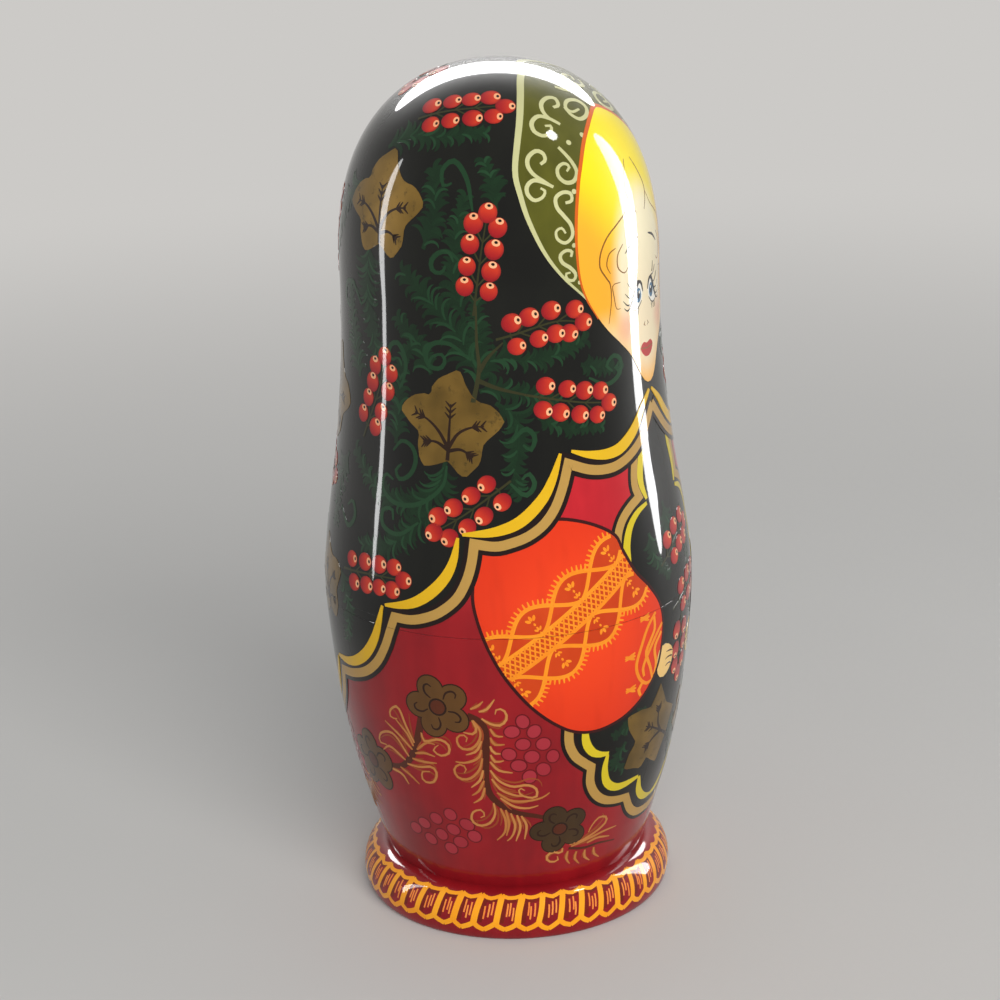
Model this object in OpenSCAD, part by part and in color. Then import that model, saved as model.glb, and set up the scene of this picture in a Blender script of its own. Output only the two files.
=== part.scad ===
// A matryoshka nesting doll turned from lime wood: six hollow dolls that open at the waist,
// one inside the other, round a small solid one. Every doll stands on a rounded foot ring.
// Each smaller doll has the largest doll's shape and the largest size that fits in the hollow.
// The front of the doll faces -Y and the origin is at the middle of its underside.

/* [Largest doll] */
// Height from the underside to the top of the head
doll_h = 220; // [190:1:260]
// Greatest diameter, at the seam
belly_d = 96; // [90:0.5:112]
// Height of the seam between the two halves
seam_z = 86; // [76:0.5:98]
// Diameter of the head at the level of the cheeks
head_d = 80.4; // [74:0.2:88]
// Height of that level, where the crown begins to close
head_z = 167; // [150:1:180]
// Fullness of the crown from the side of the head upwards, where 2 is an ellipse
crown_rise_power = 2.6; // [2:0.1:3.2]
// Fullness of the crown from its top outwards, where 2 is an ellipse
crown_round_power = 2.1; // [1.8:0.1:2.6]

/* [Foot ring] */
// Greatest diameter of the ring
foot_d = 83; // [78:0.5:90]
// Height at which the ring is widest
foot_widest_z = 4.5; // [2:0.1:8]
// Diameter of the flat underside
base_d = 80; // [70:0.5:82]
// Height of the ring, up to the foot of the skirt
foot_h = 12.5; // [10:0.1:16]
// Diameter of the skirt where it rises from the ring
ankle_d = 70; // [66:0.5:76]

/* [Walls of the largest doll] */
// Wall of the upper half
wall = 6; // [4.5:0.1:8]
// Wood left over the hollow at the top of the head
crown_t = 13; // [8:0.5:20]
// Thickness of the floor that the next doll stands on
floor_t = 11; // [7:0.5:14]
// Wall of the lower half beside the next doll's foot
ankle_wall = 3; // [2:0.1:5]
// No wall of a small doll is thinner than this
least_wall = 0.9; // [0.6:0.05:1.2]

/* [Seam of the largest doll] */
// Height of the spigot that stands up from the lower half
spigot_h = 9; // [6:0.5:12]
// Wall of the spigot
spigot_t = 3; // [2:0.1:4]
// Wall of the upper half outside the spigot
rim_t = 3.2; // [2.4:0.1:4]
// Bevel at the top of the spigot
spigot_bevel = 0.8; // [0.3:0.1:1.5]
// Bevel on each outer edge of the seam
seam_bevel = 0.2; // [0.1:0.05:0.5]

/* [Clearances] */
// Radial play of the spigot in its socket
fit_gap = 0.05; // [0.02:0.01:0.1]
// Gap over the spigot in its socket
socket_end_gap = 0.5; // [0.3:0.1:1]
// Radial gap round the foot ring of the doll inside
foot_gap = 0.6; // [0.4:0.05:1]
// Least radial gap round the belly of the doll inside
belly_gap = 1; // [0.5:0.1:2]
// Least gap over the head of the doll inside
head_gap = 2; // [1:0.5:6]

/* [Hidden] */
doll_count = 7;
skirt_red = "firebrick";
shawl_black = "#161a18";
sleeve_orange = "orangered";
$fn = 96;

// Straight stretches that each curve of an outline is drawn with
ring_steps = 8;
body_steps = 24;
crown_steps = 24;
hollow_steps = 16;
// Step that the thickness of a floor is rounded to, so that each doll stands flat on the floor below it
floor_step = 0.01;

// The skirt between the ankle and the belly: share of the rise, share of the swell
skirt_shares = [[0, 0], [0.19, 0.31], [0.37, 0.58], [0.61, 0.815], [0.85, 0.96], [1, 1]];
// The bodice between the belly and the head: share of the rise, share of the swell that is left
bodice_shares = [
    [0, 1], [0.1, 0.955], [0.3, 0.665], [0.43, 0.44], [0.57, 0.255], [0.7, 0.12], [0.84, 0.04], [1, 0]
];

belly_r = belly_d / 2;
head_r = head_d / 2;
foot_r = foot_d / 2;
base_r = base_d / 2;
ankle_r = ankle_d / 2;

// Slope of a smooth curve at one of its points, level at its far end and, if asked, at its near end
function slope(points, i, level_start) =
    i == len(points) - 1 ? 0 :
    i > 0 ? (points[i + 1].y - points[i - 1].y) / (points[i + 1].x - points[i - 1].x) :
    level_start ? 0 : (points[1].y - points[0].y) / (points[1].x - points[0].x);

// The stretch of a list of points that holds a place along it
function stretch_at(points, x, i = 0) =
    i >= len(points) - 2 || x <= points[i + 1].x ? i : stretch_at(points, x, i + 1);

// Value at a place along a smooth curve through a list of points
function smooth(points, x, level_start = false) =
    let (
        i = stretch_at(points, x),
        a = points[i],
        b = points[i + 1],
        w = b.x - a.x,
        t = (x - a.x) / w,
        rise = t * t * (3 - 2 * t)
    )
    a.y + (b.y - a.y) * rise
    + slope(points, i, level_start) * w * t * (1 - t) * (1 - t)
    - slope(points, i + 1, level_start) * w * t * t * (1 - t);

// Outer radius of the largest doll between its ankle and its head
function body_r(z) =
    z <= seam_z
    ? ankle_r + (belly_r - ankle_r) * smooth(skirt_shares, (z - foot_h) / (seam_z - foot_h))
    : head_r + (belly_r - head_r) * smooth(bodice_shares, (z - seam_z) / (head_z - seam_z), true);

// A crown of given radius and rise, from the level where it starts up to its top
function crown(radius, start_z, rise) = [
    for (i = [0 : crown_steps])
        let (a = 90 * i / crown_steps)
        [radius * pow(cos(a), 2 / crown_round_power), start_z + rise * pow(sin(a), 2 / crown_rise_power)]
];

// The foot ring, from the edge of the underside up to the ankle
ring_outline = concat(
    [
        for (i = [0 : ring_steps - 1])
            let (a = 90 * i / ring_steps)
            [base_r + (foot_r - base_r) * sin(a), foot_widest_z * (1 - cos(a))]
    ],
    [
        for (i = [0 : ring_steps])
            let (a = 90 * i / ring_steps)
            [ankle_r + (foot_r - ankle_r) * cos(a), foot_widest_z + (foot_h - foot_widest_z) * sin(a)]
    ]
);
skirt_outline = [
    for (i = [1 : body_steps])
        let (z = foot_h + (seam_z - foot_h) * i / body_steps)
        [body_r(z), z]
];
bodice_outline = [
    for (i = [1 : body_steps - 1])
        let (z = seam_z + (head_z - seam_z) * i / body_steps)
        [body_r(z), z]
];
crown_outline = crown(head_r, head_z, doll_h - head_z);

// A wall of the largest doll, thinned for a doll of a given share of its size
function thinned(t, share) = max(t * share, least_wall);
function floor_of(share) = floor_step * round(thinned(floor_t, share) / floor_step);

// Radii of the hollow and of the joint between the halves
function floor_hollow_r(share) = ankle_r * share - thinned(ankle_wall, share);
function socket_r(share) = belly_r * share - thinned(rim_t, share);
function spigot_r(share) = socket_r(share) - fit_gap;
function mouth_r(share) = spigot_r(share) - thinned(spigot_t, share);
function head_hollow_r(share) = head_r * share - thinned(wall, share);
function head_hollow_h(share) = doll_h * share - thinned(crown_t, share) - floor_of(share);

// Size of the doll that fits in the hollow of another, both as shares of the largest
function next_share(share) = min(
    (floor_hollow_r(share) - foot_gap) / foot_r,
    (mouth_r(share) - belly_gap) / belly_r,
    (head_hollow_r(share) - belly_gap) / head_r,
    (head_hollow_h(share) - head_gap) / doll_h
);

// Every doll's size, the largest first, and the height of its underside on the floor of the one outside it
size_shares = [for (i = 1, share = 1; i <= doll_count; share = next_share(share), i = i + 1) share];
stand_z = [for (i = 0, z = 0; i < doll_count; z = z + floor_of(size_shares[i]), i = i + 1) z];

// The hollow of a lower half, from its mouth down to its floor
function lower_hollow(share) =
    let (
        bottom = floor_of(share),
        depth = (seam_z + spigot_h) * share - bottom,
        swell = mouth_r(share) - floor_hollow_r(share)
    )
    [
        for (i = [hollow_steps : -1 : 0])
            let (rise_share = i / hollow_steps)
            [floor_hollow_r(share) + swell * smooth(skirt_shares, rise_share), bottom + depth * rise_share]
    ];

// The hollow of an upper half, from the top of the crown down to the socket
function upper_hollow(share) =
    let (
        start_z = (seam_z + spigot_h) * share + socket_end_gap,
        side_h = head_z * share - start_z,
        dome_h = (doll_h - head_z) * share - thinned(crown_t, share),
        dome = crown(head_hollow_r(share), head_z * share, dome_h)
    )
    concat(
        [for (i = [crown_steps : -1 : 0]) dome[i]],
        [
            for (i = [hollow_steps - 1 : -1 : 0])
                let (z = start_z + side_h * i / hollow_steps)
                [body_r(z / share) * share - thinned(wall, share), z]
        ]
    );

// A solid of revolution that stands where a doll stands, counted from 1 for the largest
module turned(points, doll) {
    translate([0, 0, stand_z[doll - 1]])
        rotate_extrude()
            polygon(points);
}

module lower_half(doll) {
    share = size_shares[doll - 1];
    seam = seam_z * share;
    top = seam + spigot_h * share;
    edge = seam_bevel * share;
    lead = spigot_bevel * share;
    below_seam = [for (p = concat(ring_outline, skirt_outline)) if (p.y < seam_z - seam_bevel) p * share];
    turned(
        concat(
            [[0, 0]],
            below_seam,
            [
                [body_r(seam_z - seam_bevel) * share, seam - edge],
                [belly_r * share - edge, seam],
                [spigot_r(share), seam],
                [spigot_r(share), top - lead],
                [spigot_r(share) - lead, top]
            ],
            lower_hollow(share),
            [[0, floor_of(share)]]
        ),
        doll
    );
}

module upper_half(doll) {
    share = size_shares[doll - 1];
    seam = seam_z * share;
    edge = seam_bevel * share;
    above_seam = [for (p = concat(bodice_outline, crown_outline)) if (p.y > seam_z + seam_bevel) p * share];
    hollow = upper_hollow(share);
    turned(
        concat(
            [
                [socket_r(share), seam],
                [belly_r * share - edge, seam],
                [body_r(seam_z + seam_bevel) * share, seam + edge]
            ],
            above_seam,
            hollow,
            [[socket_r(share), hollow[len(hollow) - 1].y]]
        ),
        doll
    );
}

module solid_doll(doll) {
    outline = concat([[0, 0]], ring_outline, skirt_outline, bodice_outline, crown_outline);
    turned(outline * size_shares[doll - 1], doll);
}

module doll_1_lower() { color(skirt_red) lower_half(1); }
module doll_2_lower() { color(skirt_red) lower_half(2); }
module doll_3_lower() { color(skirt_red) lower_half(3); }
module doll_4_lower() { color(skirt_red) lower_half(4); }
module doll_5_lower() { color(skirt_red) lower_half(5); }
module doll_6_lower() { color(skirt_red) lower_half(6); }
module doll_7() { color(sleeve_orange) solid_doll(7); }
module doll_6_upper() { color(shawl_black) upper_half(6); }
module doll_5_upper() { color(shawl_black) upper_half(5); }
module doll_4_upper() { color(shawl_black) upper_half(4); }
module doll_3_upper() { color(shawl_black) upper_half(3); }
module doll_2_upper() { color(shawl_black) upper_half(2); }
module doll_1_upper() { color(shawl_black) upper_half(1); }

doll_1_lower();
doll_2_lower();
doll_3_lower();
doll_4_lower();
doll_5_lower();
doll_6_lower();
doll_7();
doll_6_upper();
doll_5_upper();
doll_4_upper();
doll_3_upper();
doll_2_upper();
doll_1_upper();
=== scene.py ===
import math
import random

import bpy
import numpy as np
from mathutils import Matrix, Vector
from mathutils.geometry import delaunay_2d_cdt


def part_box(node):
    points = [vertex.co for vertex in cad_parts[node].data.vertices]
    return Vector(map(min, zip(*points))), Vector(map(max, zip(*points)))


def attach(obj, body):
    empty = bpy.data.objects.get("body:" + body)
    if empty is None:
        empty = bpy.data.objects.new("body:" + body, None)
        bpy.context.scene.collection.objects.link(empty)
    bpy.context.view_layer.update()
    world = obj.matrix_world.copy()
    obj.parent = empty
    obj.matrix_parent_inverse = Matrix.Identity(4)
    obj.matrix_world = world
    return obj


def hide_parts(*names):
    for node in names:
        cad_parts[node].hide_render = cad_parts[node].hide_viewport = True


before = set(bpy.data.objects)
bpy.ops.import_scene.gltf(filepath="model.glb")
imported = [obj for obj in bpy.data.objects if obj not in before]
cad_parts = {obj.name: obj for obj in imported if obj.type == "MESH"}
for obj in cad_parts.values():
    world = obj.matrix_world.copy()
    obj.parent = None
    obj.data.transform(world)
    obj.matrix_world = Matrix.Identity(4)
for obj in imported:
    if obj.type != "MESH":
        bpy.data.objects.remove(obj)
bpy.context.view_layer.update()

MM = 0.001
DOLLS = 7
rng = random.Random(7)

# The largest doll's outline in millimetres, as in the part's source
DOLL_H, SEAM_Z, SEAM_BEVEL, HEAD_Z = 220.0, 86.0, 0.2, 167.0
BELLY_R, HEAD_R, ANKLE_R, FOOT_R, BASE_R = 48.0, 40.2, 35.0, 41.5, 40.0
FOOT_WIDEST_Z, FOOT_H = 4.5, 12.5
CROWN_RISE_POWER, CROWN_ROUND_POWER = 2.6, 2.1
SKIRT_SHARES = [(0, 0), (0.19, 0.31), (0.37, 0.58), (0.61, 0.815), (0.85, 0.96), (1, 1)]
BODICE_SHARES = [
    (0, 1), (0.1, 0.955), (0.3, 0.665), (0.43, 0.44), (0.57, 0.255), (0.7, 0.12), (0.84, 0.04), (1, 0),
]
WALL, CROWN_T, FLOOR_T, ANKLE_WALL, LEAST_WALL = 6.0, 13.0, 11.0, 3.0, 0.9
SPIGOT_H, SPIGOT_T, RIM_T, SPIGOT_BEVEL = 9.0, 3.0, 3.2, 0.8
FIT_GAP, SOCKET_END_GAP = 0.05, 0.5
RING_POINTS, BODY_POINTS, CROWN_POINTS, HOLLOW_POINTS = 40, 240, 240, 40
TINY = 1e-9


def smooth(points, places, level_start=False):
    """Values at places along the smooth curve that the turner's outline follows."""
    x, y = np.array(points, float).T
    slopes = np.zeros(len(x))
    slopes[1:-1] = (y[2:] - y[:-2]) / (x[2:] - x[:-2])
    if not level_start:
        slopes[0] = (y[1] - y[0]) / (x[1] - x[0])
    i = np.clip(np.searchsorted(x, places) - 1, 0, len(x) - 2)
    width = x[i + 1] - x[i]
    t = (places - x[i]) / width
    rise = t * t * (3 - 2 * t)
    bend = slopes[i] * t * (1 - t) ** 2 - slopes[i + 1] * t * t * (1 - t)
    return y[i] + (y[i + 1] - y[i]) * rise + bend * width


def body_r(z):
    """Outer radius between the ankle and the head."""
    skirt = smooth(SKIRT_SHARES, (z - FOOT_H) / (SEAM_Z - FOOT_H))
    bodice = smooth(BODICE_SHARES, (z - SEAM_Z) / (HEAD_Z - SEAM_Z), True)
    below, above = ANKLE_R + (BELLY_R - ANKLE_R) * skirt, HEAD_R + (BELLY_R - HEAD_R) * bodice
    return np.where(z <= SEAM_Z, below, above)


def crown(radius, start_z, rise, steps):
    """Radius and height over the head, from its widest level to the top."""
    a = np.radians(np.linspace(0, 90, steps))
    r = radius * np.clip(np.cos(a), 0, 1) ** (2 / CROWN_ROUND_POWER)
    return np.column_stack([r, start_z + rise * np.sin(a) ** (2 / CROWN_RISE_POWER)])


def turned_outline():
    """Radius and height from the edge of the underside to the top of the head."""
    a = np.radians(np.linspace(0, 90, RING_POINTS))
    below = np.column_stack([BASE_R + (FOOT_R - BASE_R) * np.sin(a), FOOT_WIDEST_Z * (1 - np.cos(a))])
    above_z = FOOT_WIDEST_Z + (FOOT_H - FOOT_WIDEST_Z) * np.sin(a)
    above = np.column_stack([ANKLE_R + (FOOT_R - ANKLE_R) * np.cos(a), above_z])
    skirt, bodice = np.linspace(FOOT_H, SEAM_Z, BODY_POINTS), np.linspace(SEAM_Z, HEAD_Z, BODY_POINTS)
    z = np.concatenate([skirt[1:], bodice[1:-1]])
    top = crown(HEAD_R, HEAD_Z, DOLL_H - HEAD_Z, CROWN_POINTS)
    return np.vstack([below, above[1:], np.column_stack([body_r(z), z]), top])


def unit(rows):
    """Rows of numbers, each brought to length 1."""
    return rows / np.maximum(np.linalg.norm(rows, axis=1), TINY)[:, None]


OUTLINE = turned_outline()
OUT_R, OUT_Z = OUTLINE.T
OUT_S = np.concatenate([[0], np.cumsum(np.hypot(np.diff(OUT_R), np.diff(OUT_Z)))])
OUT_RISE = np.arctan2(OUT_Z - HEAD_Z, OUT_R)
TANGENT = unit(np.column_stack([np.gradient(OUT_R, OUT_S), np.gradient(OUT_Z, OUT_S)]))


def rise_at(z):
    """Length along the outline, from the edge of the underside, to a height."""
    return np.interp(z, OUT_Z, OUT_S)


def radius_at(rise):
    return np.interp(rise, OUT_S, OUT_R)


def height_at(rise):
    return np.interp(rise, OUT_S, OUT_Z)


def on_doll(angle, rise, lift):
    """Places and normals on the largest doll from the angle, the length along the outline and the lift."""
    normal_r, normal_z = np.interp(rise, OUT_S, TANGENT[:, 1]), -np.interp(rise, OUT_S, TANGENT[:, 0])
    size = np.hypot(normal_r, normal_z)
    normal_r, normal_z = normal_r / size, normal_z / size
    r, z = radius_at(rise) + lift * normal_r, height_at(rise) + lift * normal_z
    across, ahead = np.sin(angle), -np.cos(angle)
    places = np.column_stack([r * across, r * ahead, z])
    return places, np.column_stack([normal_r * across, normal_r * ahead, normal_z])


CROWN_SPOT_Z, LEAST_R = 186.0, 1.0


class Spot:
    """A place on the doll with a flat canvas round it, x to the right and y up, in millimetres."""

    def __init__(self, angle, height):
        self.angle = math.radians(angle)
        self.rise = float(rise_at(height))
        self.crown = height > CROWN_SPOT_Z
        r, z = radius_at(self.rise), height_at(self.rise)
        self.reach = math.hypot(r, z - HEAD_Z)
        tilt = math.atan2(z - HEAD_Z, r)
        ahead = np.array([math.sin(self.angle), -math.cos(self.angle), 0.0])
        up = np.array([0, 0, 1.0])
        self.out = math.cos(tilt) * ahead + math.sin(tilt) * up
        self.right = np.array([math.cos(self.angle), math.sin(self.angle), 0.0])
        self.up = math.cos(tilt) * up - math.sin(tilt) * ahead

    def canvas(self, places):
        """Points of the canvas under places given as angle in degrees and height."""
        places = np.array(places, float)
        angle, rise = np.radians(places[:, 0]), rise_at(places[:, 1])
        if not self.crown:
            return np.column_stack([(angle - self.angle) * radius_at(rise), rise - self.rise])
        tilt = np.interp(rise, OUT_S, OUT_RISE)
        level = np.cos(tilt)
        way = np.column_stack([level * np.sin(angle), -level * np.cos(angle), np.sin(tilt)])
        turn = np.arccos(np.clip(way @ self.out, -1, 1))
        scale = self.reach * turn / np.maximum(np.sin(turn), TINY)
        return np.column_stack([way @ self.right, way @ self.up]) * scale[:, None]

    def lay(self, points):
        """Angle in radians and length along the outline under points of the canvas."""
        x, y = points.T
        if not self.crown:
            rise = np.clip(self.rise + y, OUT_S[0], OUT_S[-1])
            return np.column_stack([self.angle + x / np.maximum(radius_at(rise), LEAST_R), rise])
        far = np.maximum(np.hypot(x, y), TINY)
        turn = far / self.reach
        side = (x[:, None] * self.right + y[:, None] * self.up) / far[:, None]
        way = np.cos(turn)[:, None] * self.out + np.sin(turn)[:, None] * side
        angle = np.arctan2(way[:, 0], -way[:, 1])
        angle = self.angle + (angle - self.angle + math.pi) % (2 * math.pi) - math.pi
        return np.column_stack([angle, np.interp(np.arcsin(np.clip(way[:, 2], -1, 1)), OUT_RISE, OUT_S)])


# Brush work on a flat canvas: each shape is an array of points and an array of triangles.
STROKE_STEP, FILL_STEP, CURVE_STEPS = 1.2, 1.7, 12
FILL_CLEAR, FILL_ROW = 0.7, math.sqrt(0.75)
INSIDE_ONLY, MERGE_BELOW = 1, 1e-5
LEAST_MITRE, SHARP_TURN, LEAST_FACE = 0.4, 0.4, 1e-7


def even(path, step):
    """A path in even steps."""
    path = np.array(path, float)
    along = np.concatenate([[0], np.cumsum(np.linalg.norm(np.diff(path, axis=0), axis=1))])
    count = max(int(round(along[-1] / step)), 2)
    at = np.linspace(0, along[-1], count + 1)
    return np.column_stack([np.interp(at, along, path[:, 0]), np.interp(at, along, path[:, 1])])


def curve(points, step=STROKE_STEP, closed=False):
    """A smooth path through points, in even steps."""
    p = np.array(points, float)
    if closed:
        p = np.vstack([p[-1], p, p[0], p[1]])
    else:
        p = np.vstack([2 * p[0] - p[1], p, 2 * p[-1] - p[-2]])
    t = np.linspace(0, 1, CURVE_STEPS, endpoint=False)[:, None]
    pieces = []
    for a, b, c, d in zip(p, p[1:], p[2:], p[3:]):
        way = 2 * b + (c - a) * t + (2 * a - 5 * b + 4 * c - d) * t**2
        pieces.append(0.5 * (way + (3 * b - a - 3 * c + d) * t**3))
    pieces.append(p[-2][None])
    return even(np.vstack(pieces), step)


def headings(path):
    """The way a path runs at each point."""
    return unit(np.gradient(path, axis=0))


def bearing(way):
    """The angle of a way in degrees."""
    return math.degrees(math.atan2(way[1], way[0]))


def mitred(steps):
    """Across a path at each point, from its steps, lengthened at corners so that a line keeps its width."""
    along = unit(steps)
    across = np.column_stack([-along[:, 1], along[:, 0]])
    before, after = np.vstack([across[:1], across]), np.vstack([across, across[-1:]])
    return (before + after) / np.maximum(1 + (before * after).sum(1), LEAST_MITRE)[:, None]


def side_of(path):
    """The way to the left of a path at each point."""
    return mitred(np.diff(path, axis=0))


def ribbon_faces(rows, columns):
    """Triangles between the points of a grid."""
    i, j = np.meshgrid(np.arange(rows - 1), np.arange(columns - 1), indexing="ij")
    a = (i * columns + j).ravel()
    b, c, d = a + 1, a + columns, a + columns + 1
    return np.vstack([np.column_stack([a, b, c]), np.column_stack([b, d, c])])


def stroke(path, widths):
    """A brush stroke along a path, with its width at the start, the middle and the end."""
    t = np.linspace(0, 1, len(path))
    start, middle, end = widths
    pull = 2 * middle - (start + end) / 2
    half = ((1 - t) ** 2 * start + 2 * t * (1 - t) * pull + t * t * end) / 2
    columns = max(int(math.ceil(max(widths) / FILL_STEP)), 1) + 1
    across = np.linspace(1, -1, columns)
    points = path[:, None] + side_of(path)[:, None] * (half[:, None] * across)[:, :, None]
    return points.reshape(-1, 2), ribbon_faces(len(path), columns)


def inside(points, rim):
    """Which points lie inside a closed outline."""
    found = np.zeros(len(points), bool)
    for (x0, y0), (x1, y1) in zip(rim, np.roll(rim, -1, axis=0)):
        if y0 != y1:
            meets = (points[:, 1] < y0) != (points[:, 1] < y1)
            found ^= meets & (points[:, 0] < x0 + (points[:, 1] - y0) * (x1 - x0) / (y1 - y0))
    return found


def clear_of(points, rim, gap):
    """Which points keep a gap to an outline's own points."""
    clear = np.ones(len(points), bool)
    for x, y in rim:
        clear &= (points[:, 0] - x) ** 2 + (points[:, 1] - y) ** 2 > gap * gap
    return clear


def rim_of(outline, step):
    """A closed outline in even steps, turning to the left."""
    rim = even(np.vstack([outline, outline[:1]]), step)[:-1]
    x, y = rim.T
    turns_left = np.sum(x * np.roll(y, -1) - np.roll(x, -1) * y) > 0
    return rim if turns_left else rim[::-1]


def fill(outline, step=FILL_STEP, within=None):
    """A painted field inside a closed outline, and inside a second one if it is given."""
    rims = [rim_of(o, step) for o in (outline, within) if o is not None]
    low, high = rims[0].min(0), rims[0].max(0)
    y = np.arange(low[1], high[1], step * FILL_ROW)
    x = np.arange(low[0], high[0] + step, step)
    grid = np.array([(u + step / 2 * (k % 2), v) for k, v in enumerate(y) for u in x]).reshape(-1, 2)
    loops, count = [], 0
    for rim in rims:
        grid = grid[inside(grid, rim)]
        grid = grid[clear_of(grid, rim, FILL_CLEAR * step)]
        loops.append(list(range(count, count + len(rim))))
        count += len(rim)
    points = [Vector(p) for p in np.vstack(rims + [grid])]
    made, _, faces, _, _, origins = delaunay_2d_cdt(points, [], loops, INSIDE_ONLY, MERGE_BELOW, True)
    faces = np.array([f[:] for f, of in zip(faces, origins) if len(of) == len(loops)])
    used, index = np.unique(faces, return_inverse=True)
    return np.array([v[:] for v in made])[used], index.reshape(-1, 3)


def disc(x, y, wide, high=None, turn=0.0, steps=18, rings=2):
    """A dab of paint: an ellipse with given half axes, turned by an angle in degrees."""
    high = wide if high is None else high
    a = np.linspace(0, 2 * math.pi, steps, endpoint=False)
    points = [np.zeros((1, 2))]
    for ring in range(1, rings + 1):
        points.append(np.column_stack([np.cos(a) * wide, np.sin(a) * high]) * ring / rings)
    faces = [(0, 1 + i, 1 + (i + 1) % steps) for i in range(steps)]
    for ring in range(rings - 1):
        for i in range(steps):
            a0, a1 = 1 + ring * steps + i, 1 + ring * steps + (i + 1) % steps
            faces += [(a0, a0 + steps, a1), (a1, a0 + steps, a1 + steps)]
    return placed(np.vstack(points), turn, 1, x, y), np.array(faces)


def placed(points, turn=0.0, size=1.0, x=0.0, y=0.0):
    """Points turned by degrees, sized and moved."""
    c, s = math.cos(math.radians(turn)), math.sin(math.radians(turn))
    return np.array(points, float) @ np.array([[c, s], [-s, c]]) * size + (x, y)


def curl(length, turn, power=1.2, steps=26):
    """A line that starts straight and curls in by given degrees."""
    u = np.linspace(0, 1, steps)
    a = np.radians(turn * u ** (power + 1))
    path = np.cumsum(np.column_stack([np.cos(a), np.sin(a)]) * length / (steps - 1), axis=0)
    return path - path[0]


def unfolded(places, steps, across):
    """A ribbon's points, drawn together where its inside would fold over itself at a sharp corner."""
    length = np.linalg.norm(steps, axis=1)
    along = unit(steps)
    turn = along[:-1, 0] * along[1:, 1] - along[:-1, 1] * along[1:, 0]
    places = places.copy()
    for k in np.where(np.abs(turn) > SHARP_TURN)[0] + 1:
        bend = math.asin(np.clip(turn[k - 1], -1, 1))
        for column, width in enumerate(across):
            reach = width * math.tan(bend / 2)
            for way in (1, -1):
                i, gone = k, 0.0
                while 0 <= i + way < len(places) and reach > 0:
                    gone += length[i if way > 0 else i - 1]
                    i += way
                    if gone >= reach:
                        break
                    places[i, column] = places[k, column]
    return places


def spread(corners):
    """Twice the area of triangles given by their corners."""
    a, b = corners[:, 1] - corners[:, 0], corners[:, 2] - corners[:, 0]
    return np.abs(a[:, 0] * b[:, 1] - a[:, 1] * b[:, 0])


class Layer:
    """All the work in one paint on one doll."""

    def __init__(self):
        self.points, self.lifts, self.brush, self.faces, self.count = [], [], [], [], 0

    def add(self, points, lift, brush, faces):
        self.points.append(points)
        self.lifts.append(np.full(len(points), lift))
        self.brush.append(brush)
        self.faces.append(faces + self.count)
        self.count += len(points)

    def joined(self):
        points, brush, faces = [np.vstack(rows) for rows in (self.points, self.brush, self.faces)]
        return points, np.concatenate(self.lifts), brush, faces


LEFT, RIGHT = 1, -1
BOTH = (LEFT, RIGHT)
# Coats count from the wood up: work in more coats lies over work in fewer.
COAT = 0.02
ARM_FROM, ARM_TO = math.radians(8), math.radians(72)
BRUSH_SCALE = 10.0
# At each step of detail: pairs of berries in a spray, the size of a berry, cells round the foot ring
DETAIL = [(2, 1.6, 24), (3, 1.25, 32), (4, 1.0, 40), (4, 1.0, 46)]


class Painting:
    """The paint on one size of doll. pen widens the lines of a small doll, gap spaces its fine work out."""

    def __init__(self, pen, gap, detail):
        self.pen, self.gap, self.detail = pen, gap, detail
        self.pairs, self.berry_size, self.cells = DETAIL[detail]
        self.layers, self.arm_shift = {}, 0.0

    def put(self, paint, coats, spot, shape, sides=BOTH, centre=None, turn=0.0):
        """Lays a shape drawn on a spot's canvas on the doll, on the left, the right or both."""
        points, faces = shape
        middle = points.mean(0) if centre is None else np.array(centre, float)
        self.lay(paint, coats, spot.lay(points), faces, placed(points - middle, -turn), sides)

    def lay(self, paint, coats, laid, faces, brush, sides=BOTH):
        """Adds faces between places given as angle and length along the outline."""
        seed = np.full(len(laid), rng.random())
        brush = np.column_stack([brush / BRUSH_SCALE, seed])
        for side in sides:
            turned = faces if side == LEFT else faces[:, ::-1]
            places = laid * (side, 1)
            if side == RIGHT:
                share = np.clip((ARM_TO - places[:, 0]) / (ARM_TO - ARM_FROM), 0, 1)
                places[:, 0] += self.arm_shift * share
            self.layers.setdefault(paint, Layer()).add(places, coats * COAT, brush, turned)

    def ribbon(self, paint, coats, laid, width, sides=BOTH):
        """A line of even width along places given as angle and length along the outline."""
        r = radius_at(laid[:, 1])
        scale = np.column_stack([r, np.ones(len(r))])
        steps = np.diff(laid, axis=0) * (scale[1:] + scale[:-1]) / 2
        columns = int(math.ceil(width / FILL_STEP)) + 1
        across = np.linspace(width / 2, -width / 2, columns)
        offset = mitred(steps)[:, None] * across[:, None]
        places = unfolded(laid[:, None] + offset / scale[:, None], steps, across).reshape(-1, 2)
        faces = ribbon_faces(len(laid), columns)
        faces = faces[spread(places[faces]) > LEAST_FACE]
        self.lay(paint, coats, places, faces, offset.reshape(-1, 2), sides)

    def line(self, paint, coats, spot, path, widths, sides=BOTH):
        """A brush stroke along a path on a spot's canvas."""
        self.put(paint, coats, spot, stroke(path, [w * self.pen for w in widths]), sides)


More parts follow.
